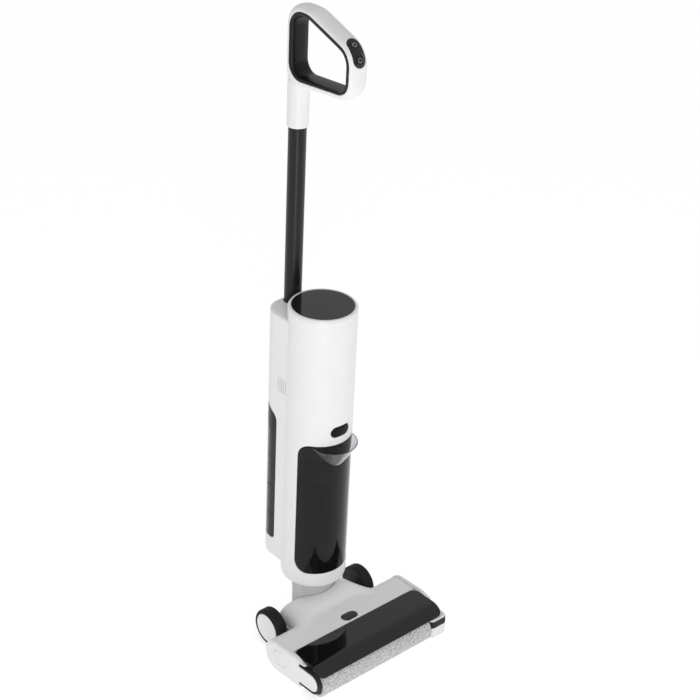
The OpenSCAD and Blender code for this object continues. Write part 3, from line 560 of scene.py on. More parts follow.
key_s = (key_low[2] + key_high[2]) / 2
key_half_u = BODY_R * math.asin(key_high[0] / BODY_R)
key_half_s = (key_high[2] - key_low[2]) / 2
TANK_KEY_GAP = 0.9
v_low, v_high = rise.t[0], rise.t[-1]
front_outline = rounded([
    (-HALF_TURN_U, v_low, 0), (HALF_TURN_U, v_low, 0), (HALF_TURN_U, rear_low[2], 0),
    (SPLIT_U, rear_low[2], 0), (SPLIT_U, rear_high[2], 0), (HALF_TURN_U, rear_high[2], 0),
    (HALF_TURN_U, v_high, 0), (-HALF_TURN_U, v_high, 0), (-HALF_TURN_U, rear_high[2], 0),
    (-SPLIT_U, rear_high[2], 0), (-SPLIT_U, rear_low[2], 0), (-HALF_TURN_U, rear_low[2], 0)])
sheet("front_shell.fine", front_outline, on_column, "upright", "white_plastic",
      holes=[window_outline(0), pill(key_half_u + TANK_KEY_GAP, key_half_s + TANK_KEY_GAP, 0, key_s)],
      rim=soft_edge(0.35, WALL), hole_rim=soft_edge(1.1, WALL), cell=4.0, replaces=["front_shell"])
sheet("tank_button.fine", pill(key_half_u, key_half_s, 0, key_s),
      lambda u, v, d: on_column(u, v, d - 0.35 - 0.3 * np.maximum(0, 1 - ((v - key_s) / key_half_s) ** 2)),
      "tank_key", "black_gloss", thick=6.0, edge=1.2, cell=1.5, look=key_look, replaces=["tank_button"])

rear_plan = Track([(-SIDE_X, SPLIT_Y), (-SIDE_X, REAR_Y, REAR_R), (SIDE_X, REAR_Y, REAR_R),
                   (SIDE_X, SPLIT_Y)], 1, steps=16)
REAR_LEN = rear_plan.t[-1]
EDGE_LOW, EDGE_HIGH = 2.0, 3.0
rear_rise = Track([(-EDGE_LOW, rear_low[2]), (0, rear_low[2], EDGE_LOW), (0, rear_high[2], EDGE_HIGH),
                   (-EDGE_HIGH, rear_high[2])], -1,
                  start=rear_low[2] + EDGE_LOW - EDGE_LOW * math.pi / 2)


def on_rear(u, v, depth):
    """Rear housing: u runs round it from the left split line to the right one, v up it."""
    out, s = rear_rise.at(v, depth)
    x, y = rear_plan.at(u, -out)
    return to_body(x, y, s)


BAY_LOW, BAY_FRONT_Y, BAY_SIDE_TOP = 58.5, 46.0, 305.0
BAY_TOP = body_span("clean_tank_cap")[1][2] + 0.4
bay_u = BAY_FRONT_Y - SPLIT_Y
bay_rise_u = bay_u + 33.2


def bay_outline(grow):
    left, right = bay_u - grow, REAR_LEN - bay_u + grow
    return rounded([
        (left, BAY_LOW - grow, 9), (right, BAY_LOW - grow, 9), (right, BAY_SIDE_TOP + grow, 18),
        (REAR_LEN - bay_rise_u, BAY_TOP + grow, 20), (bay_rise_u, BAY_TOP + grow, 20),
        (left, BAY_SIDE_TOP + grow, 18)], 10)


VENT_LOW, VENT_HIGH, VENT_W, VENT_PITCH, VENT_COUNT = 358.0, 384.0, 2.2, 4.6, 5
vent_u = 26 - SPLIT_Y
vent_holes = []
for i in range(VENT_COUNT):
    for u in (vent_u + i * VENT_PITCH, REAR_LEN - vent_u - i * VENT_PITCH):
        vent_holes.append(pill(VENT_W / 2, (VENT_HIGH - VENT_LOW) / 2, u, (VENT_LOW + VENT_HIGH) / 2, 5))
PLAIN_EDGE = [(0, WALL), (0, 0)]
sheet("rear_shell.fine",
      rounded([(0, rear_rise.t[0], 0), (REAR_LEN, rear_rise.t[0], 0), (REAR_LEN, rear_rise.t[-1], 0),
               (0, rear_rise.t[-1], 0)]),
      on_rear, "upright", "white_plastic", holes=[bay_outline(0)] + vent_holes, rim=PLAIN_EDGE,
      hole_rim=soft_edge(0.55, WALL, 3), cell=4.0, replaces=["rear_shell"])


def deck_outline(edge, gap):
    """Plan of the rear housing, drawn in by edge, in front of which the round front passes."""
    along = np.linspace(0, REAR_LEN, 90)
    x, y = rear_plan.at(along, edge)
    side = math.asin((SIDE_X - edge) / (BODY_R + gap))
    front = np.linspace(side, -side, 40)
    arc = np.stack([(BODY_R + gap) * np.sin(front), (BODY_R + gap) * np.cos(front)], -1)
    wall = np.stack([x, y], -1)
    return np.concatenate([wall[wall[:, 1] > arc[0][1] + 0.5], arc])


tube_low, tube_high = body_span("tube")
TUBE_R = tube_high[0]
TUBE_Y = (tube_low[1] + tube_high[1]) / 2
sheet("rear_deck", deck_outline(EDGE_HIGH, 0.25),
      lambda u, v, d: to_body(u, v, rear_high[2] - d), "upright", "white_plastic",
      holes=[ring(TUBE_R + 0.5, 0, TUBE_Y)], rim=PLAIN_EDGE, hole_rim=soft_edge(0.8, WALL), cell=5.0)
sheet("rear_floor", deck_outline(EDGE_LOW, 0.25),
      lambda u, v, d: to_body(u, v, rear_low[2] + d), "upright", "white_plastic", rim=PLAIN_EDGE, cell=6.0)

lens_r = lens_high[0]
turned("lid_lens.fine", [(0, lens_low[2]), (lens_r, lens_low[2]), (lens_r, BODY_LEN - 0.6),
                         (lens_r - 0.2, BODY_LEN - 0.25), (lens_r - 0.6, BODY_LEN - 0.1),
                         (lens_r - 3, BODY_LEN - 0.05), (0, BODY_LEN)],
       along_body(0, 0), "upright", "black_gloss", look=lens_look, replaces=["lid_lens"], crease=50)

# Tanks
refined("dirty_tank", 0.5)
refined("dirty_tank_lid", 0.5)
refined("clean_tank", 0.6)
refined("clean_tank_cap", 0.6)

RIB_HALF_U, RIB_HALF_S, RIB_PROUD = 12.0, 0.8, 0.25
RIB_HEIGHTS = (105.0, 163.0, 221.0)
tank_inset = SIDE_X - body_span("clean_tank")[1][0]
for i, height in enumerate(RIB_HEIGHTS):
    for side, u in (("left", bay_u + RIB_HALF_U + 1), ("right", REAR_LEN - bay_u - RIB_HALF_U - 1)):
        sheet(side + "_tank_rib." + str(i + 1), pill(RIB_HALF_U, RIB_HALF_S, u, height),
              lambda u, v, d: on_rear(u, v, d + tank_inset - RIB_PROUD), "clean", "black_satin",
              thick=0.8, edge=0.2, cell=1.5)

SPOUT_Y = -36.0
SPOUT_LOW_R, SPOUT_HIGH_R, SPOUT_WALL = 20.0, 42.0, 1.3
TANK_R = 55.6
spout_bottom, spout_top = 245.0, body_span("tank_spout")[1][2]


def spout_row(s, wall, columns=40):
    """One row of the pouring lip, from its left root on the tank round to its right root."""
    share = (s - spout_bottom) / (spout_top - spout_bottom)
    r = SPOUT_LOW_R + (SPOUT_HIGH_R - SPOUT_LOW_R) * share - wall
    reach = (TANK_R ** 2 - SPOUT_Y ** 2 - r ** 2) / (-2 * SPOUT_Y * r)
    turn = np.linspace(-1, 1, columns) * math.acos(min(1, max(-1, reach)))
    return to_body(r * np.sin(turn), SPOUT_Y - r * np.cos(turn), np.full(columns, s))


rows = []
heights = np.linspace(spout_bottom + 1.0, spout_top - 0.4, 26)
rows += [spout_row(s, 0) for s in heights]
rows.append(spout_row(spout_top, SPOUT_WALL / 2))
rows += [spout_row(s, SPOUT_WALL) for s in heights[::-1]]
spout_verts = [p for row in rows for p in row]
columns = len(rows[0])
spout_faces = []
for k in range(len(rows)):
    after = (k + 1) % len(rows)
    for i in range(columns - 1):
        spout_faces.append((k * columns + i, k * columns + i + 1,
                            after * columns + i + 1, after * columns + i))
half = len(heights)
for k in range(half):
    twin = len(rows) - 1 - k
    if k + 1 < half:
        for i in (0, columns - 1):
            spout_faces.append((k * columns + i, (k + 1) * columns + i,
                                (twin - 1) * columns + i, twin * columns + i))
for i in (0, columns - 1):
    spout_faces.append(((half - 1) * columns + i, half * columns + i, (half + 1) * columns + i))
finished("tank_spout.fine", spout_verts, spout_faces, "dirty", "smoked_tank", replaces=["tank_spout"],
         look=clear_look)

# Tube and handle
refined("tube", 0.3)
stem_low = body_span("handle_shell")[0][2]
LOOP_HALF, STEM_R = 16.5, 17.0
HUB_Y, HUB_S = 12.0, 926.0
loop_outer = rounded([(REAR_Y, 862, 5), (57, 863, 6), (-62, 874.5, 34), (-62, 956, 45), (33, 990, 42),
                      (REAR_Y, 990, 32)], 16)
loop_middle = rounded([(80, 873, 26), (-53.5, 884.5, 24), (-53.5, 948.6, 30), (38, 981, 26),
                       (80, 981, 28)], 16)
loop_inner = rounded([(72, 880.5, 20), (-45.5, 888, 16), (-45.5, 943, 22), (39, 973, 18),
                      (72, 973, 20)], 16)


def reach_of(loop, angles):
    """Distance from the hub of the handle's loop to an outline, at each angle."""
    dense = divided(loop, 0.4) - np.array([HUB_Y, HUB_S])
    turn = np.arctan2(dense[:, 1], dense[:, 0])
    order = np.argsort(turn)
    return np.interp(angles, turn[order], np.hypot(dense[:, 0], dense[:, 1])[order], period=2 * np.pi)


def loop_point(angle, reach, x):
    return to_body(x, HUB_Y + reach * np.cos(angle), HUB_S + reach * np.sin(angle))


LOOP_STEPS, SECTION_STEPS = 420, 26
SHELL_FULLNESS, GRIP_FULLNESS = 0.75, 0.4
angles = np.linspace(-np.pi, np.pi, LOOP_STEPS, endpoint=False)
outer_reach = reach_of(loop_outer, angles)
middle_reach = reach_of(loop_middle, angles)
inner_reach = reach_of(loop_inner, angles)


def loop_mesh(near, far, half_width, lip, fullness):
    """Ring with a half-round section that swells from the near outline to the far one."""
    rings = []
    for a in np.linspace(-np.pi / 2, np.pi / 2, SECTION_STEPS):
        x = half_width * math.sin(a)
        swell = max(0.0, math.cos(a)) ** fullness
        rings.append(loop_point(angles, near + (far - near) * swell, np.full(LOOP_STEPS, x)))
    for x in (half_width - 0.8, -half_width + 0.8):
        rings.append(loop_point(angles, near + lip * np.sign(far - near), np.full(LOOP_STEPS, x)))
    return skin(rings)


def melted(name, parts, voxel, smoothing, after, *args, **more):
    """Overlapping closed meshes joined into one skin with soft joints."""
    verts, faces = [], []
    for part_verts, part_faces in parts:
        first = len(verts)
        verts += list(part_verts)
        faces += [tuple(first + i for i in f) for f in part_faces]
    mesh = bpy.data.meshes.new(name + ".raw")
    mesh.from_pydata([tuple(v) for v in verts], [], faces)
    raw = new_object(name + ".raw", mesh)
    bm = bmesh.new()
    bm.from_mesh(mesh)
    bmesh.ops.remove_doubles(bm, verts=bm.verts, dist=1e-7)
    bmesh.ops.recalc_face_normals(bm, faces=bm.faces)
    bm.to_mesh(mesh)
    bm.free()
    remesh = raw.modifiers.new("remesh", "REMESH")
    remesh.mode = "VOXEL"
    remesh.voxel_size = voxel * MM
    smooth = raw.modifiers.new("smooth", "SMOOTH")
    smooth.factor = 0.5
    smooth.iterations = smoothing
    shape = raw.evaluated_get(bpy.context.evaluated_depsgraph_get()).to_mesh()
    verts = after(np.array([v.co[:] for v in shape.vertices]))
    faces = [tuple(p.vertices) for p in shape.polygons]
    bpy.data.objects.remove(raw)
    return finished(name, verts, faces, *args, crease=80, weighted=False, **more)


STEM_TOP = 872.5
stem_profile = [(0, stem_low), (STEM_R - 1.2, stem_low), (STEM_R - 0.4, stem_low + 0.4),
                (STEM_R, stem_low + 1.2), (STEM_R, STEM_TOP - 3), (STEM_R - 2, STEM_TOP), (0, STEM_TOP)]
stem = turned_mesh(stem_profile, along_body(0, TUBE_Y))
FLARE_R, FLARE_TOP, FLARE_STEPS = 14.0, 868.0, 96
flare_rings = []
for a in np.linspace(0, math.pi / 2, 10):
    s = FLARE_TOP - FLARE_R * (1 - math.sin(a))
    turn = np.arange(FLARE_STEPS) * 2 * np.pi / FLARE_STEPS
    front = STEM_R + FLARE_R * (1 - math.cos(a))
    y = TUBE_Y + np.where(np.cos(turn) < 0, front, STEM_R - 0.3) * np.cos(turn)
    flare_rings.append(to_body((STEM_R - 0.3) * np.sin(turn), y, np.full(FLARE_STEPS, s)))
PANEL_HALF, PANEL_R, PANEL_DEEP = 24.0, 11.5, 2.8


def panel_recess(points):
    """Sinks the part of the handle's nose that lies under the control panel."""
    local = (points - FOOT) @ AXES.T / MM
    y, s = local[:, 1], local[:, 2]
    tilt = np.arctan2(s - NOSE_S, NOSE_Y - y)
    v = (tilt - math.radians(PANEL_TILT)) * NOSE_R
    past = np.maximum(np.abs(v) - (PANEL_HALF - PANEL_R), 0)
    under = (np.hypot(local[:, 0], past) < PANEL_R - 0.9) & (np.hypot(y - NOSE_Y, s - NOSE_S) > NOSE_R - 8)
    away = np.stack([y - HUB_Y, s - HUB_S], -1)
    away /= np.linalg.norm(away, axis=1)[:, None]
    local[under, 1:] -= PANEL_DEEP * away[under]
    return FOOT + MM * local @ AXES


NOSE_Y, NOSE_S, NOSE_R = -17.0, 924.4, 45.0
PANEL_TILT, POWER_TILT, MODE_TILT = 35.0, 50.0, 19.5
shell_loop = loop_mesh(middle_reach, outer_reach, LOOP_HALF, 0.6, SHELL_FULLNESS)
shell_parts = [shell_loop, stem, loft_mesh(flare_rings)]
melted("handle_shell.fine", shell_parts, 0.8, 12, panel_recess, "upright", "white_plastic",
       replaces=["handle_shell"])
grip_loop = loop_mesh(middle_reach, inner_reach, LOOP_HALF + 0.4, -0.4, GRIP_FULLNESS)
finished("handle_grip.fine", *grip_loop, "upright", "black_satin", replaces=["handle_grip"], crease=60)


def on_nose(lift):
    """Rounded nose of the handle: u runs across it, v up it from the panel's middle."""
    def wrap(u, v, depth):
        tilt = math.radians(PANEL_TILT) + v / NOSE_R
        y, s = NOSE_Y - NOSE_R * np.cos(tilt) - HUB_Y, NOSE_S + NOSE_R * np.sin(tilt) - HUB_S
        angle = np.arctan2(s, y)
        outer, middle = reach_of(loop_outer, angle), reach_of(loop_middle, angle)
        swell = np.maximum(0, 1 - (u / LOOP_HALF) ** 2) ** (SHELL_FULLNESS / 2)
        return loop_point(angle, middle + (outer - middle) * swell + lift - depth, u)
    return wrap


KEY_R, KEY_GAP = 6.4, 0.6
key_v = {"power": math.radians(POWER_TILT - PANEL_TILT) * NOSE_R,
         "mode": math.radians(MODE_TILT - PANEL_TILT) * NOSE_R}
sheet("handle_panel.fine", pill(PANEL_R, PANEL_HALF), on_nose(0.3), "upright", "black_gloss",
      holes=[ring(KEY_R + KEY_GAP, 0, v) for v in key_v.values()], thick=2.6, edge=0.5, cell=1.6,
      hole_rim=soft_edge(0.12, 2.6, 2), replaces=["handle_panel"])
for key, node in (("power", "power_button"), ("mode", "mode_button")):
    sheet(node + ".fine", ring(KEY_R, 0, key_v[key]), on_nose(0.3), key + "_key", "black_gloss",
          thick=1.6, edge=0.15, cell=1.2, replaces=[node])


def arc_band(radius, width, start, end, v0, count=36):
    turn = np.radians(np.linspace(start, end, count))
    outer = np.stack([(radius + width / 2) * np.cos(turn), v0 + (radius + width / 2) * np.sin(turn)], -1)
    inner = np.stack([(radius - width / 2) * np.cos(turn), v0 + (radius - width / 2) * np.sin(turn)], -1)
    return np.concatenate([outer, inner[::-1]])


MARK_R, MARK_W, MARK_T = 3.3, 0.55, 0.16
mark = dict(thick=MARK_T, rim=[(0, MARK_T), (0, 0)], columns=[], rows=[], look=mark_grey)
sheet("power_mark.ring", arc_band(MARK_R, MARK_W, 118, 422, key_v["power"]), on_nose(0.4), "power_key",
      "grey_plastic", **mark)
sheet("power_mark.bar", pill(MARK_W / 2, 1.5, 0, key_v["power"] + 2.4), on_nose(0.4), "power_key",
      "grey_plastic", **mark)
hexagon = ring(MARK_R + 0.3, 0, key_v["mode"], 6)
sheet("mode_mark", divided(hexagon, 0.6), on_nose(0.4), "mode_key", "grey_plastic",
      holes=[divided(ring(MARK_R - 0.2, 0, key_v["mode"], 6), 0.6)], **mark)

# Floor head: white top shell
cover_low, cover_high = head_span("roller_cover")
COVER_HALF = cover_high[0]
SHELL_FRONT_Y = cover_high[1] + 0.4
PARTING_Z = 33.0
WING_REAR_Y, WING_TOP_Z, WING_R = -48.0, 60.0, 24.0
HUMP_Y, HUMP_Z, HUMP_R = -30.0, 40.0, 33.0
FLAT_Z = cover_high[2]
SADDLE_R = 16.0
HEAD_V = 100.0

wing_track = Track([(SHELL_FRONT_Y, FLAT_Z), (WING_REAR_Y, WING_TOP_Z, WING_R),
                    (WING_REAR_Y, PARTING_Z)], 1, steps=24)
SADDLE_Z = 58.4
saddle_y = HUMP_Y - math.sqrt((HUMP_R + SADDLE_R) ** 2 - (SADDLE_Z + SADDLE_R - HUMP_Z) ** 2)
saddle_end = math.atan2(SADDLE_Z + SADDLE_R - HUMP_Z, saddle_y - HUMP_Y)
concave = np.linspace(-math.pi / 2, saddle_end - math.pi, 14)
hump_turn = np.linspace(saddle_end, 0, 60)
hump_path = np.concatenate([
    [(SHELL_FRONT_Y, FLAT_Z)],
    np.stack([saddle_y + SADDLE_R * np.cos(concave), SADDLE_Z + SADDLE_R + SADDLE_R * np.sin(concave)], -1),
    np.stack([HUMP_Y + HUMP_R * np.cos(hump_turn), HUMP_Z + HUMP_R * np.sin(hump_turn)], -1)[1:],
    [(HUMP_Y + HUMP_R, PARTING_Z)]])


def evenly(path):
    """A path as a function of its share of the length, from 0 to HEAD_V."""
    along = np.concatenate([[0], np.cumsum(np.linalg.norm(np.diff(path, axis=0), axis=1))])
    return along / along[-1] * HEAD_V, path


wing_v, wing_path = evenly(wing_track.points)
hump_v, hump_path = evenly(hump_path)


def eased(t):
    t = np.clip(t, 0, 1)
    return t * t * (3 - 2 * t)


# Half widths of the hump's crest and foot, which change towards its lower rear edge
SPREAD_START, SPREAD_LENGTH = 0.62, 0.36
CREST_HALF, LOW_CREST_HALF = 40, 75
HUMP_HALF, LOW_HUMP_HALF = 87, 80


def head_surface(x, v):
    """Outer face of the head's top: a flat wing that swells into the hump in the middle."""
    low = eased((v / HEAD_V - SPREAD_START) / SPREAD_LENGTH)
    inner = CREST_HALF + (LOW_CREST_HALF - CREST_HALF) * low
    outer = HUMP_HALF + (LOW_HUMP_HALF - HUMP_HALF) * low
    weight = eased((outer - np.abs(x)) / (outer - inner))
    wing = [np.interp(v, wing_v, wing_path[:, k]) for k in (0, 1)]
    hump = [np.interp(v, hump_v, hump_path[:, k]) for k in (0, 1)]
    y, z = (wing[k] + (hump[k] - wing[k]) * weight for k in (0, 1))
    return np.stack([x, y, z], -1)


def on_head(u, v, depth):
    step = 0.4
    here = head_surface(u, v)
    across = head_surface(u + step, v) - head_surface(u - step, v)
    along = head_surface(u, np.minimum(v + step, HEAD_V)) - head_surface(u, np.maximum(v - step, 0))
    normal = np.cross(across, along)
    normal /= np.linalg.norm(normal, axis=1)[:, None]
    found = here - depth * normal
    return to_head(found[:, 0], found[:, 1], found[:, 2])


NECK_HALF, NECK_ARC_R, NECK_FRONT = 36.0, 52.0, -33.0
SLOT_HALF = NECK_HALF + 1.2
arc_x = np.linspace(SLOT_HALF, -SLOT_HALF, 30)
NECK_SHIFT = 2.1
arc_y = NECK_SHIFT + NECK_FRONT + NECK_ARC_R - np.sqrt((NECK_ARC_R + 1.0) ** 2 - arc_x ** 2)
arc_v = np.interp(arc_y, hump_path[:, 0][:-1], hump_v[:-1])
top_outline = np.concatenate([
    [(-COVER_HALF, 0), (COVER_HALF, 0), (COVER_HALF, HEAD_V), (SLOT_HALF, HEAD_V)],
    np.stack([arc_x, arc_v], -1), [(-SLOT_HALF, HEAD_V), (-COVER_HALF, HEAD_V)]])
button_low, button_high = head_span("cover_button")
button_y = (button_low[1] + button_high[1]) / 2
button_half = (button_high - button_low) / 2
button_hole = pill(button_half[0] + 0.5, button_half[1] + 0.5, 0, button_y)
button_hole[:, 1] = np.interp(button_hole[:, 1], hump_path[:, 0][:40], hump_v[:40])
slope_stations = np.arange(38, 90, 1.5)
stations = np.unique(np.concatenate([np.arange(-134, 135, 4.0), slope_stations, -slope_stations]))
sheet("head_top.fine", top_outline, on_head, "head", "white_plastic", holes=[button_hole],
      rim=soft_edge(0.4, 2.4, 3), hole_rim=soft_edge(0.5, 2.4, 3), cell=2.6, columns=stations,
      rows=np.arange(1.5, HEAD_V - 1, 1.8), replaces=["head_top"])
LEDGE_TOP, LEDGE_T = FLAT_Z - 2.8, 3.4
LEDGE_HALF, LEDGE_FRONT_Y, LEDGE_REAR_Y = COVER_HALF - 1, -135.7, SHELL_FRONT_Y + 1.5
ledge_outline = rounded([(-LEDGE_HALF, LEDGE_FRONT_Y, 1), (LEDGE_HALF, LEDGE_FRONT_Y, 1),
                         (LEDGE_HALF, LEDGE_REAR_Y, 1), (-LEDGE_HALF, LEDGE_REAR_Y, 1)])
sheet("cover_ledge", ledge_outline, lambda u, v, d: to_head(u, v, LEDGE_TOP - d), "head", "white_plastic",
      thick=LEDGE_T, edge=0.5, cell=8.0,
      holes=[pill(button_half[0] + 0.6, button_half[1] + 0.6, 0, button_y)])
refined("head_base", 0.5)

# Cover over the roller, its release button
COVER_T = 2.4
cover_track = Track([(cover_high[1], FLAT_Z), (-168, FLAT_Z, 28), (cover_low[1], 43.2)], -1, steps=24)


def on_cover(u, v, depth):
    y, z = cover_track.at(v, depth)
    return to_head(u, y, z)


cover_len = cover_track.t[-1]
cover_outline = rounded([(-COVER_HALF, 0, 13), (-COVER_HALF, cover_len, 11), (COVER_HALF, cover_len, 11),
                         (COVER_HALF, 0, 13)], 12)
sheet("roller_cover.fine", cover_outline, on_cover, "cover", "black_gloss", thick=COVER_T, edge=0.9,
      cell=2.4, replaces=["roller_cover"])


def on_button(u, v, depth):
    dome = 0.5 * np.maximum(0, 1 - (v / button_half[1]) ** 2)
    return to_head(u, button_y + v, button_high[2] - 0.5 + dome - depth)


sheet("cover_button.fine", pill(button_half[0], button_half[1]), on_button, "cover_key", "black_gloss",
      thick=7.5, edge=1.3, cell=1.5, replaces=["cover_button"])

# End caps with their keys and bumpers
HEAD_HALF, CAP_T = -head_span("left_end_cap")[0][0], 8.0
SEAM_Y = -136.0
CAP_FILLET = 4.0
STEP_DEPTH = 0.45
cap_relief = []
for a in (math.radians(15 * i) for i in range(7)):
    cap_relief.append((CAP_FILLET * (1 - math.cos(a)),
                       STEP_DEPTH + (CAP_FILLET - STEP_DEPTH) * (1 - math.sin(a))))
cap_relief += [(CAP_FILLET + 1.4, STEP_DEPTH), (CAP_FILLET + 1.9, 0.36), (CAP_FILLET + 2.3, 0.09),
               (CAP_FILLET + 2.8, 0.0)]
plate_rim = [(0, CAP_T - 0.1), (0, CAP_FILLET)]
plate_outline = rounded([(-48, 2, 28), (-48, 60, 24), (-126, 60, 24), (-151, 51.8, 0.4),
                         (SEAM_Y - 0.6, 51.5, 0.4), (SEAM_Y - 0.6, 3, 1)], 14)
key_centre = (-87.0, 34.5)


def on_side(sign):
    """Outer face of an end of the head: u runs to the rear and v up."""
    return lambda u, v, d: to_head(sign * (HEAD_HALF - d), u, v)


sheet("left_end_cap.plate", plate_outline, on_side(-1), "end_cap", "white_plastic", rim=plate_rim,
      relief=cap_relief, holes=[pill(17.4, 13.4, *key_centre)], hole_rim=soft_edge(0.5, CAP_T - 0.1, 3),
      cell=2.5, replaces=["left_end_cap"])
sheet("cap_button.fine", pill(17, 13, *key_centre), on_side(-1), "cap_key", "white_plastic", thick=4.0,
      edge=0.7, cell=3.0, replaces=["cap_button"])
nose_outline = rounded([(SEAM_Y + 1.5, 15.8, 2.2), (SEAM_Y + 1.5, 47.2, 2.2), (-182.7, 47.2, 15),
                        (-182.7, 15.8, 15)], 14)
sheet("left_end_cap.nose", nose_outline, on_side(-1), "end_cap", "white_plastic", thick=CAP_T - 0.2,
      edge=2.0, cell=3.0)
BUMPER_END_Y = SEAM_Y - 0.3
bumper_loop = rounded([(BUMPER_END_Y, 12, 1.4), (BUMPER_END_Y, 15.2, 1.4), (-183, 15.2, 15),
                       (-183, 47.8, 15), (BUMPER_END_Y, 47.8, 1.4), (BUMPER_END_Y, 51, 1.4),
                       (-187, 51, 18), (-187, 12, 18)], 14)
sheet("left_bumper.fine", bumper_loop, on_side(-1), "end_cap", "rubber", thick=CAP_T, edge=1.3, cell=2.5,
      replaces=["left_bumper"])
sheet("right_end_cap.plate", plate_outline, on_side(1), "head", "white_plastic", rim=plate_rim,
      relief=cap_relief, cell=2.5, replaces=["right_end_cap"])

HOUSING_IN, HOUSING_OUT, HOUSING_FRONT_Y, HOUSING_REAR_Y = 109.2, 144.4, -185.6, -139.2
HOUSING_LOW, HOUSING_HIGH, HOUSING_R, HOUSING_EDGE = 4.0, 41.0, 7.0, 2.5
housing_plan = rounded([(HOUSING_IN, HOUSING_FRONT_Y, HOUSING_R), (HOUSING_OUT, HOUSING_FRONT_Y, HOUSING_R),
                        (HOUSING_OUT, HOUSING_REAR_Y, 1), (HOUSING_IN, HOUSING_REAR_Y, 1)], 8)
levels = [(HOUSING_LOW, HOUSING_EDGE)]
for i in range(1, 6):
    turn = math.pi / 2 * i / 5
    levels.append((HOUSING_LOW + HOUSING_EDGE * (1 - math.cos(turn)),
                   HOUSING_EDGE * (1 - math.sin(turn))))
levels += [(HOUSING_HIGH + HOUSING_LOW - z, d) for z, d in levels[::-1]]
rings = []
for z, d in levels:
    loop = inset(housing_plan, d * 0.39)
    rings.append(to_head(loop[:, 0], loop[:, 1], np.full(len(loop), z)))
finished("right_end_cap.housing", *loft_mesh(rings), "head", "white_plastic")
refined("right_bumper", 0.5)

# Wheels
AXLE_Y, AXLE_Z = -6.0, 33.0
WHEEL_R, WHEEL_IN, WHEEL_OUT = 33.0, 88.0, 110.0
HUB_R = 26.8
WEB_END, AXLE_HOLE_R = WHEEL_IN + 2.0, 5.0
tyre_profile = rounded([(AXLE_HOLE_R, WHEEL_IN, 0.5), (WHEEL_R, WHEEL_IN, 3.5), (WHEEL_R, WHEEL_OUT, 6),
                        (HUB_R, WHEEL_OUT, 0.6), (HUB_R, WEB_END, 0.3), (AXLE_HOLE_R, WEB_END, 0.3)], 8)
hub_profile = [(4.2, WEB_END + 0.2), (HUB_R - 0.8, WEB_END + 0.2), (HUB_R - 0.1, WEB_END + 0.9),
               (HUB_R - 0.1, WHEEL_OUT - 2.0), (HUB_R - 0.5, WHEEL_OUT - 1.1),
               (HUB_R - 1.6, WHEEL_OUT - 0.7), (18, WHEEL_OUT - 0.45), (9, WHEEL_OUT - 0.3),
               (0, WHEEL_OUT - 0.25), (0, WHEEL_IN + 12), (4.2, WHEEL_IN + 12)]
for side, sign in (("left", -1), ("right", 1)):
    def wheel_place(a, b, h, sign=sign):
        return to_head(sign * h, AXLE_Y + a, AXLE_Z + b)
    turned(side + "_tyre.fine", tyre_profile, wheel_place, side + "_wheel", "tyre", count=128,
           replaces=[side + "_tyre"], crease=50)
    turned(side + "_hub.fine", hub_profile, wheel_place, side + "_wheel", "white_plastic", count=96,
           replaces=[side + "_hub"], crease=50)

# Neck
neck_rings = []
for s, half_width, front in ((-66, 36, 0), (-50, 36, 0), (-34, 36.3, 0), (-20, 37.2, 0.3), (-9, 38.6, 0.8),
                             (-3, 39.3, 1.1), (-1.4, 39.5, 1.2), (-0.5, 38.9, 0.6)):
    half_angle = math.asin((half_width - 7) / NECK_ARC_R)
    turn = np.linspace(-half_angle, half_angle, 30)
    face = np.stack([NECK_ARC_R * np.sin(turn),
                     NECK_FRONT + NECK_ARC_R - NECK_ARC_R * np.cos(turn) - front], -1)
    side_y = face[0][1] + 3.5
    corners = [(*p, 0) for p in face]
    corners += [(half_width, side_y, 6), (half_width, 16, 8), (-half_width, 16, 8), (-half_width, side_y, 6)]
    loop = rounded(corners, 6)
    neck_rings.append(to_body(loop[:, 0], loop[:, 1], np.full(len(loop), float(s))))
barrel_profile = rounded([(4.2, -35.4, 0), (22, -35.4, 1.5), (22, 35.4, 1.5), (4.2, 35.4, 0)], 5)
finished("neck.fine", *loft_mesh(neck_rings), "neck", "grey_plastic", replaces=["neck"], crease=50)
turned("neck.barrel", barrel_profile, along_x(AXLE_Y, AXLE_Z), "neck", "grey_plastic", crease=50)

# Fleece roller
ROLLER_Y, ROLLER_R = -166.0, 23.5
roller_low, roller_high = head_span("roller_sleeve")
PILE = 0.75
ROUND_STEPS, LONG_STEPS = 280, 440
dice = np.random.default_rng(7)


def soft_noise(shape, passes):
    grid = dice.random(shape)
    for _ in range(passes):
        beside = np.roll(grid, 1, 0) + np.roll(grid, -1, 0)
        grid = (grid + beside + np.roll(grid, 1, 1) + np.roll(grid, -1, 1)) / 5
    grid -= grid.min()
    return grid / grid.max()


pile = soft_noise((LONG_STEPS, ROUND_STEPS), 1)
turn = np.arange(ROUND_STEPS) * 2 * np.pi / ROUND_STEPS
pile_rings = []
SHOULDER_R = 3.0
for k, x in enumerate(np.linspace(roller_low[0], roller_high[0], LONG_STEPS)):
    from_end = min(x - roller_low[0], roller_high[0] - x)
    shoulder = SHOULDER_R * (1 - math.sqrt(1 - (1 - min(1, from_end / SHOULDER_R)) ** 2))
    r = ROLLER_R - shoulder - PILE * pile[k]
    pile_rings.append(to_head(x, ROLLER_Y + r * np.cos(turn), ROLLER_R + r * np.sin(turn)))
finished("roller_sleeve.fine", *loft_mesh(pile_rings), "roller", "fleece", replaces=["roller_sleeve"],
         crease=180, weighted=False)

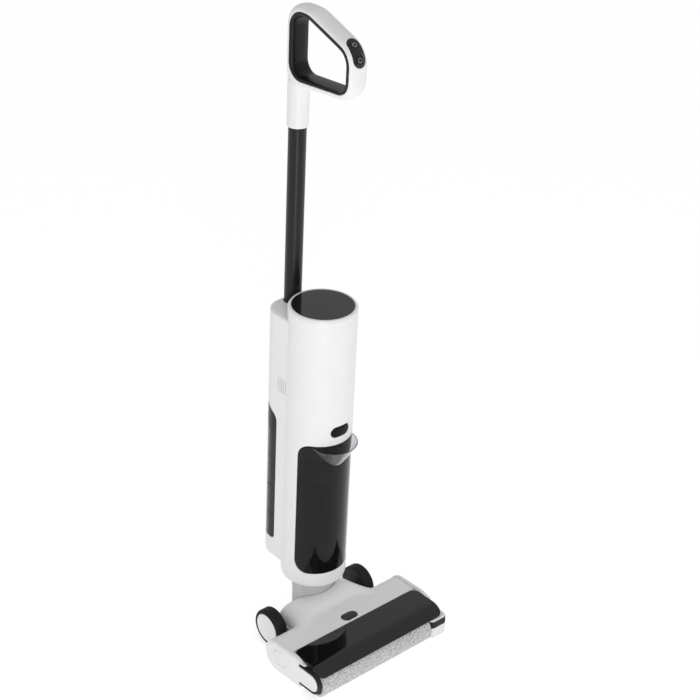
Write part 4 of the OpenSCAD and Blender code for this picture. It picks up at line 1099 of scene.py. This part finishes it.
# Stage, camera and light
floor_look = material("pale_floor", (0.62, 0.62, 0.62), 0.9, tint=0.004, rough_spread=0.02, grain=0.0,
                      emission_color=(1, 1, 1, 1), emission_strength=0.62, specular_ior_level=0.0)
floor_mesh = bpy.data.meshes.new("floor")
FLOOR = 40.0
floor_corners = [(-FLOOR, -FLOOR, 0), (FLOOR, -FLOOR, 0), (FLOOR, FLOOR, 0), (-FLOOR, FLOOR, 0)]
floor_mesh.from_pydata(floor_corners, [], [(0, 1, 2, 3)])
floor_mesh.materials.append(floor_look)
floor = new_object("floor", floor_mesh)

world = bpy.data.worlds.new("studio")
bpy.context.scene.world = world
world.use_nodes = True
tree = world.node_tree
tree.nodes["Background"].inputs["Color"].default_value = (1, 1, 1, 1)
sky = tree.nodes.new("ShaderNodeTexCoord")
parts = tree.nodes.new("ShaderNodeSeparateXYZ")
dome = tree.nodes.new("ShaderNodeMapRange")
dome.interpolation_type = "SMOOTHSTEP"
for socket, value in (("From Min", 0.0), ("From Max", 0.4), ("To Min", 0.5), ("To Max", 0.6)):
    dome.inputs[socket].default_value = value
tree.links.new(sky.outputs["Generated"], parts.inputs["Vector"])
tree.links.new(parts.outputs["Z"], dome.inputs["Value"])
tree.links.new(dome.outputs["Result"], tree.nodes["Background"].inputs["Strength"])


def softbox(name, azimuth, distance, width, height, power):
    """Upright rectangular light that stands on the floor, turned towards the object."""
    middle = Vector((0, 0, height / 2))
    a = math.radians(azimuth)
    place = middle + distance * Vector((math.sin(a), -math.cos(a), 0))
    data = bpy.data.lights.new(name, "AREA")
    data.shape = "RECTANGLE"
    data.size, data.size_y = width, height
    data.energy = power
    lamp = new_object(name, data)
    lamp.location = place
    lamp.visible_camera = False
    lamp.rotation_euler = (middle - place).to_track_quat("-Z", "Y").to_euler()


softbox("key", -38, 1.25, 0.3, 1.7, 6.0)
softbox("edge", 60, 1.6, 0.15, 1.7, 1.2)

camera_data = bpy.data.cameras.new("camera")
camera_data.lens = 85
camera_data.sensor_width = 36
camera_data.clip_end = 50
camera = new_object("camera", camera_data)
camera.location = (-1.5015, -1.7795, 1.7486)
camera.rotation_euler = (math.radians(62.72), 0, math.radians(-40.93))
bpy.context.scene.camera = camera
bpy.context.scene.view_settings.view_transform = "Standard"
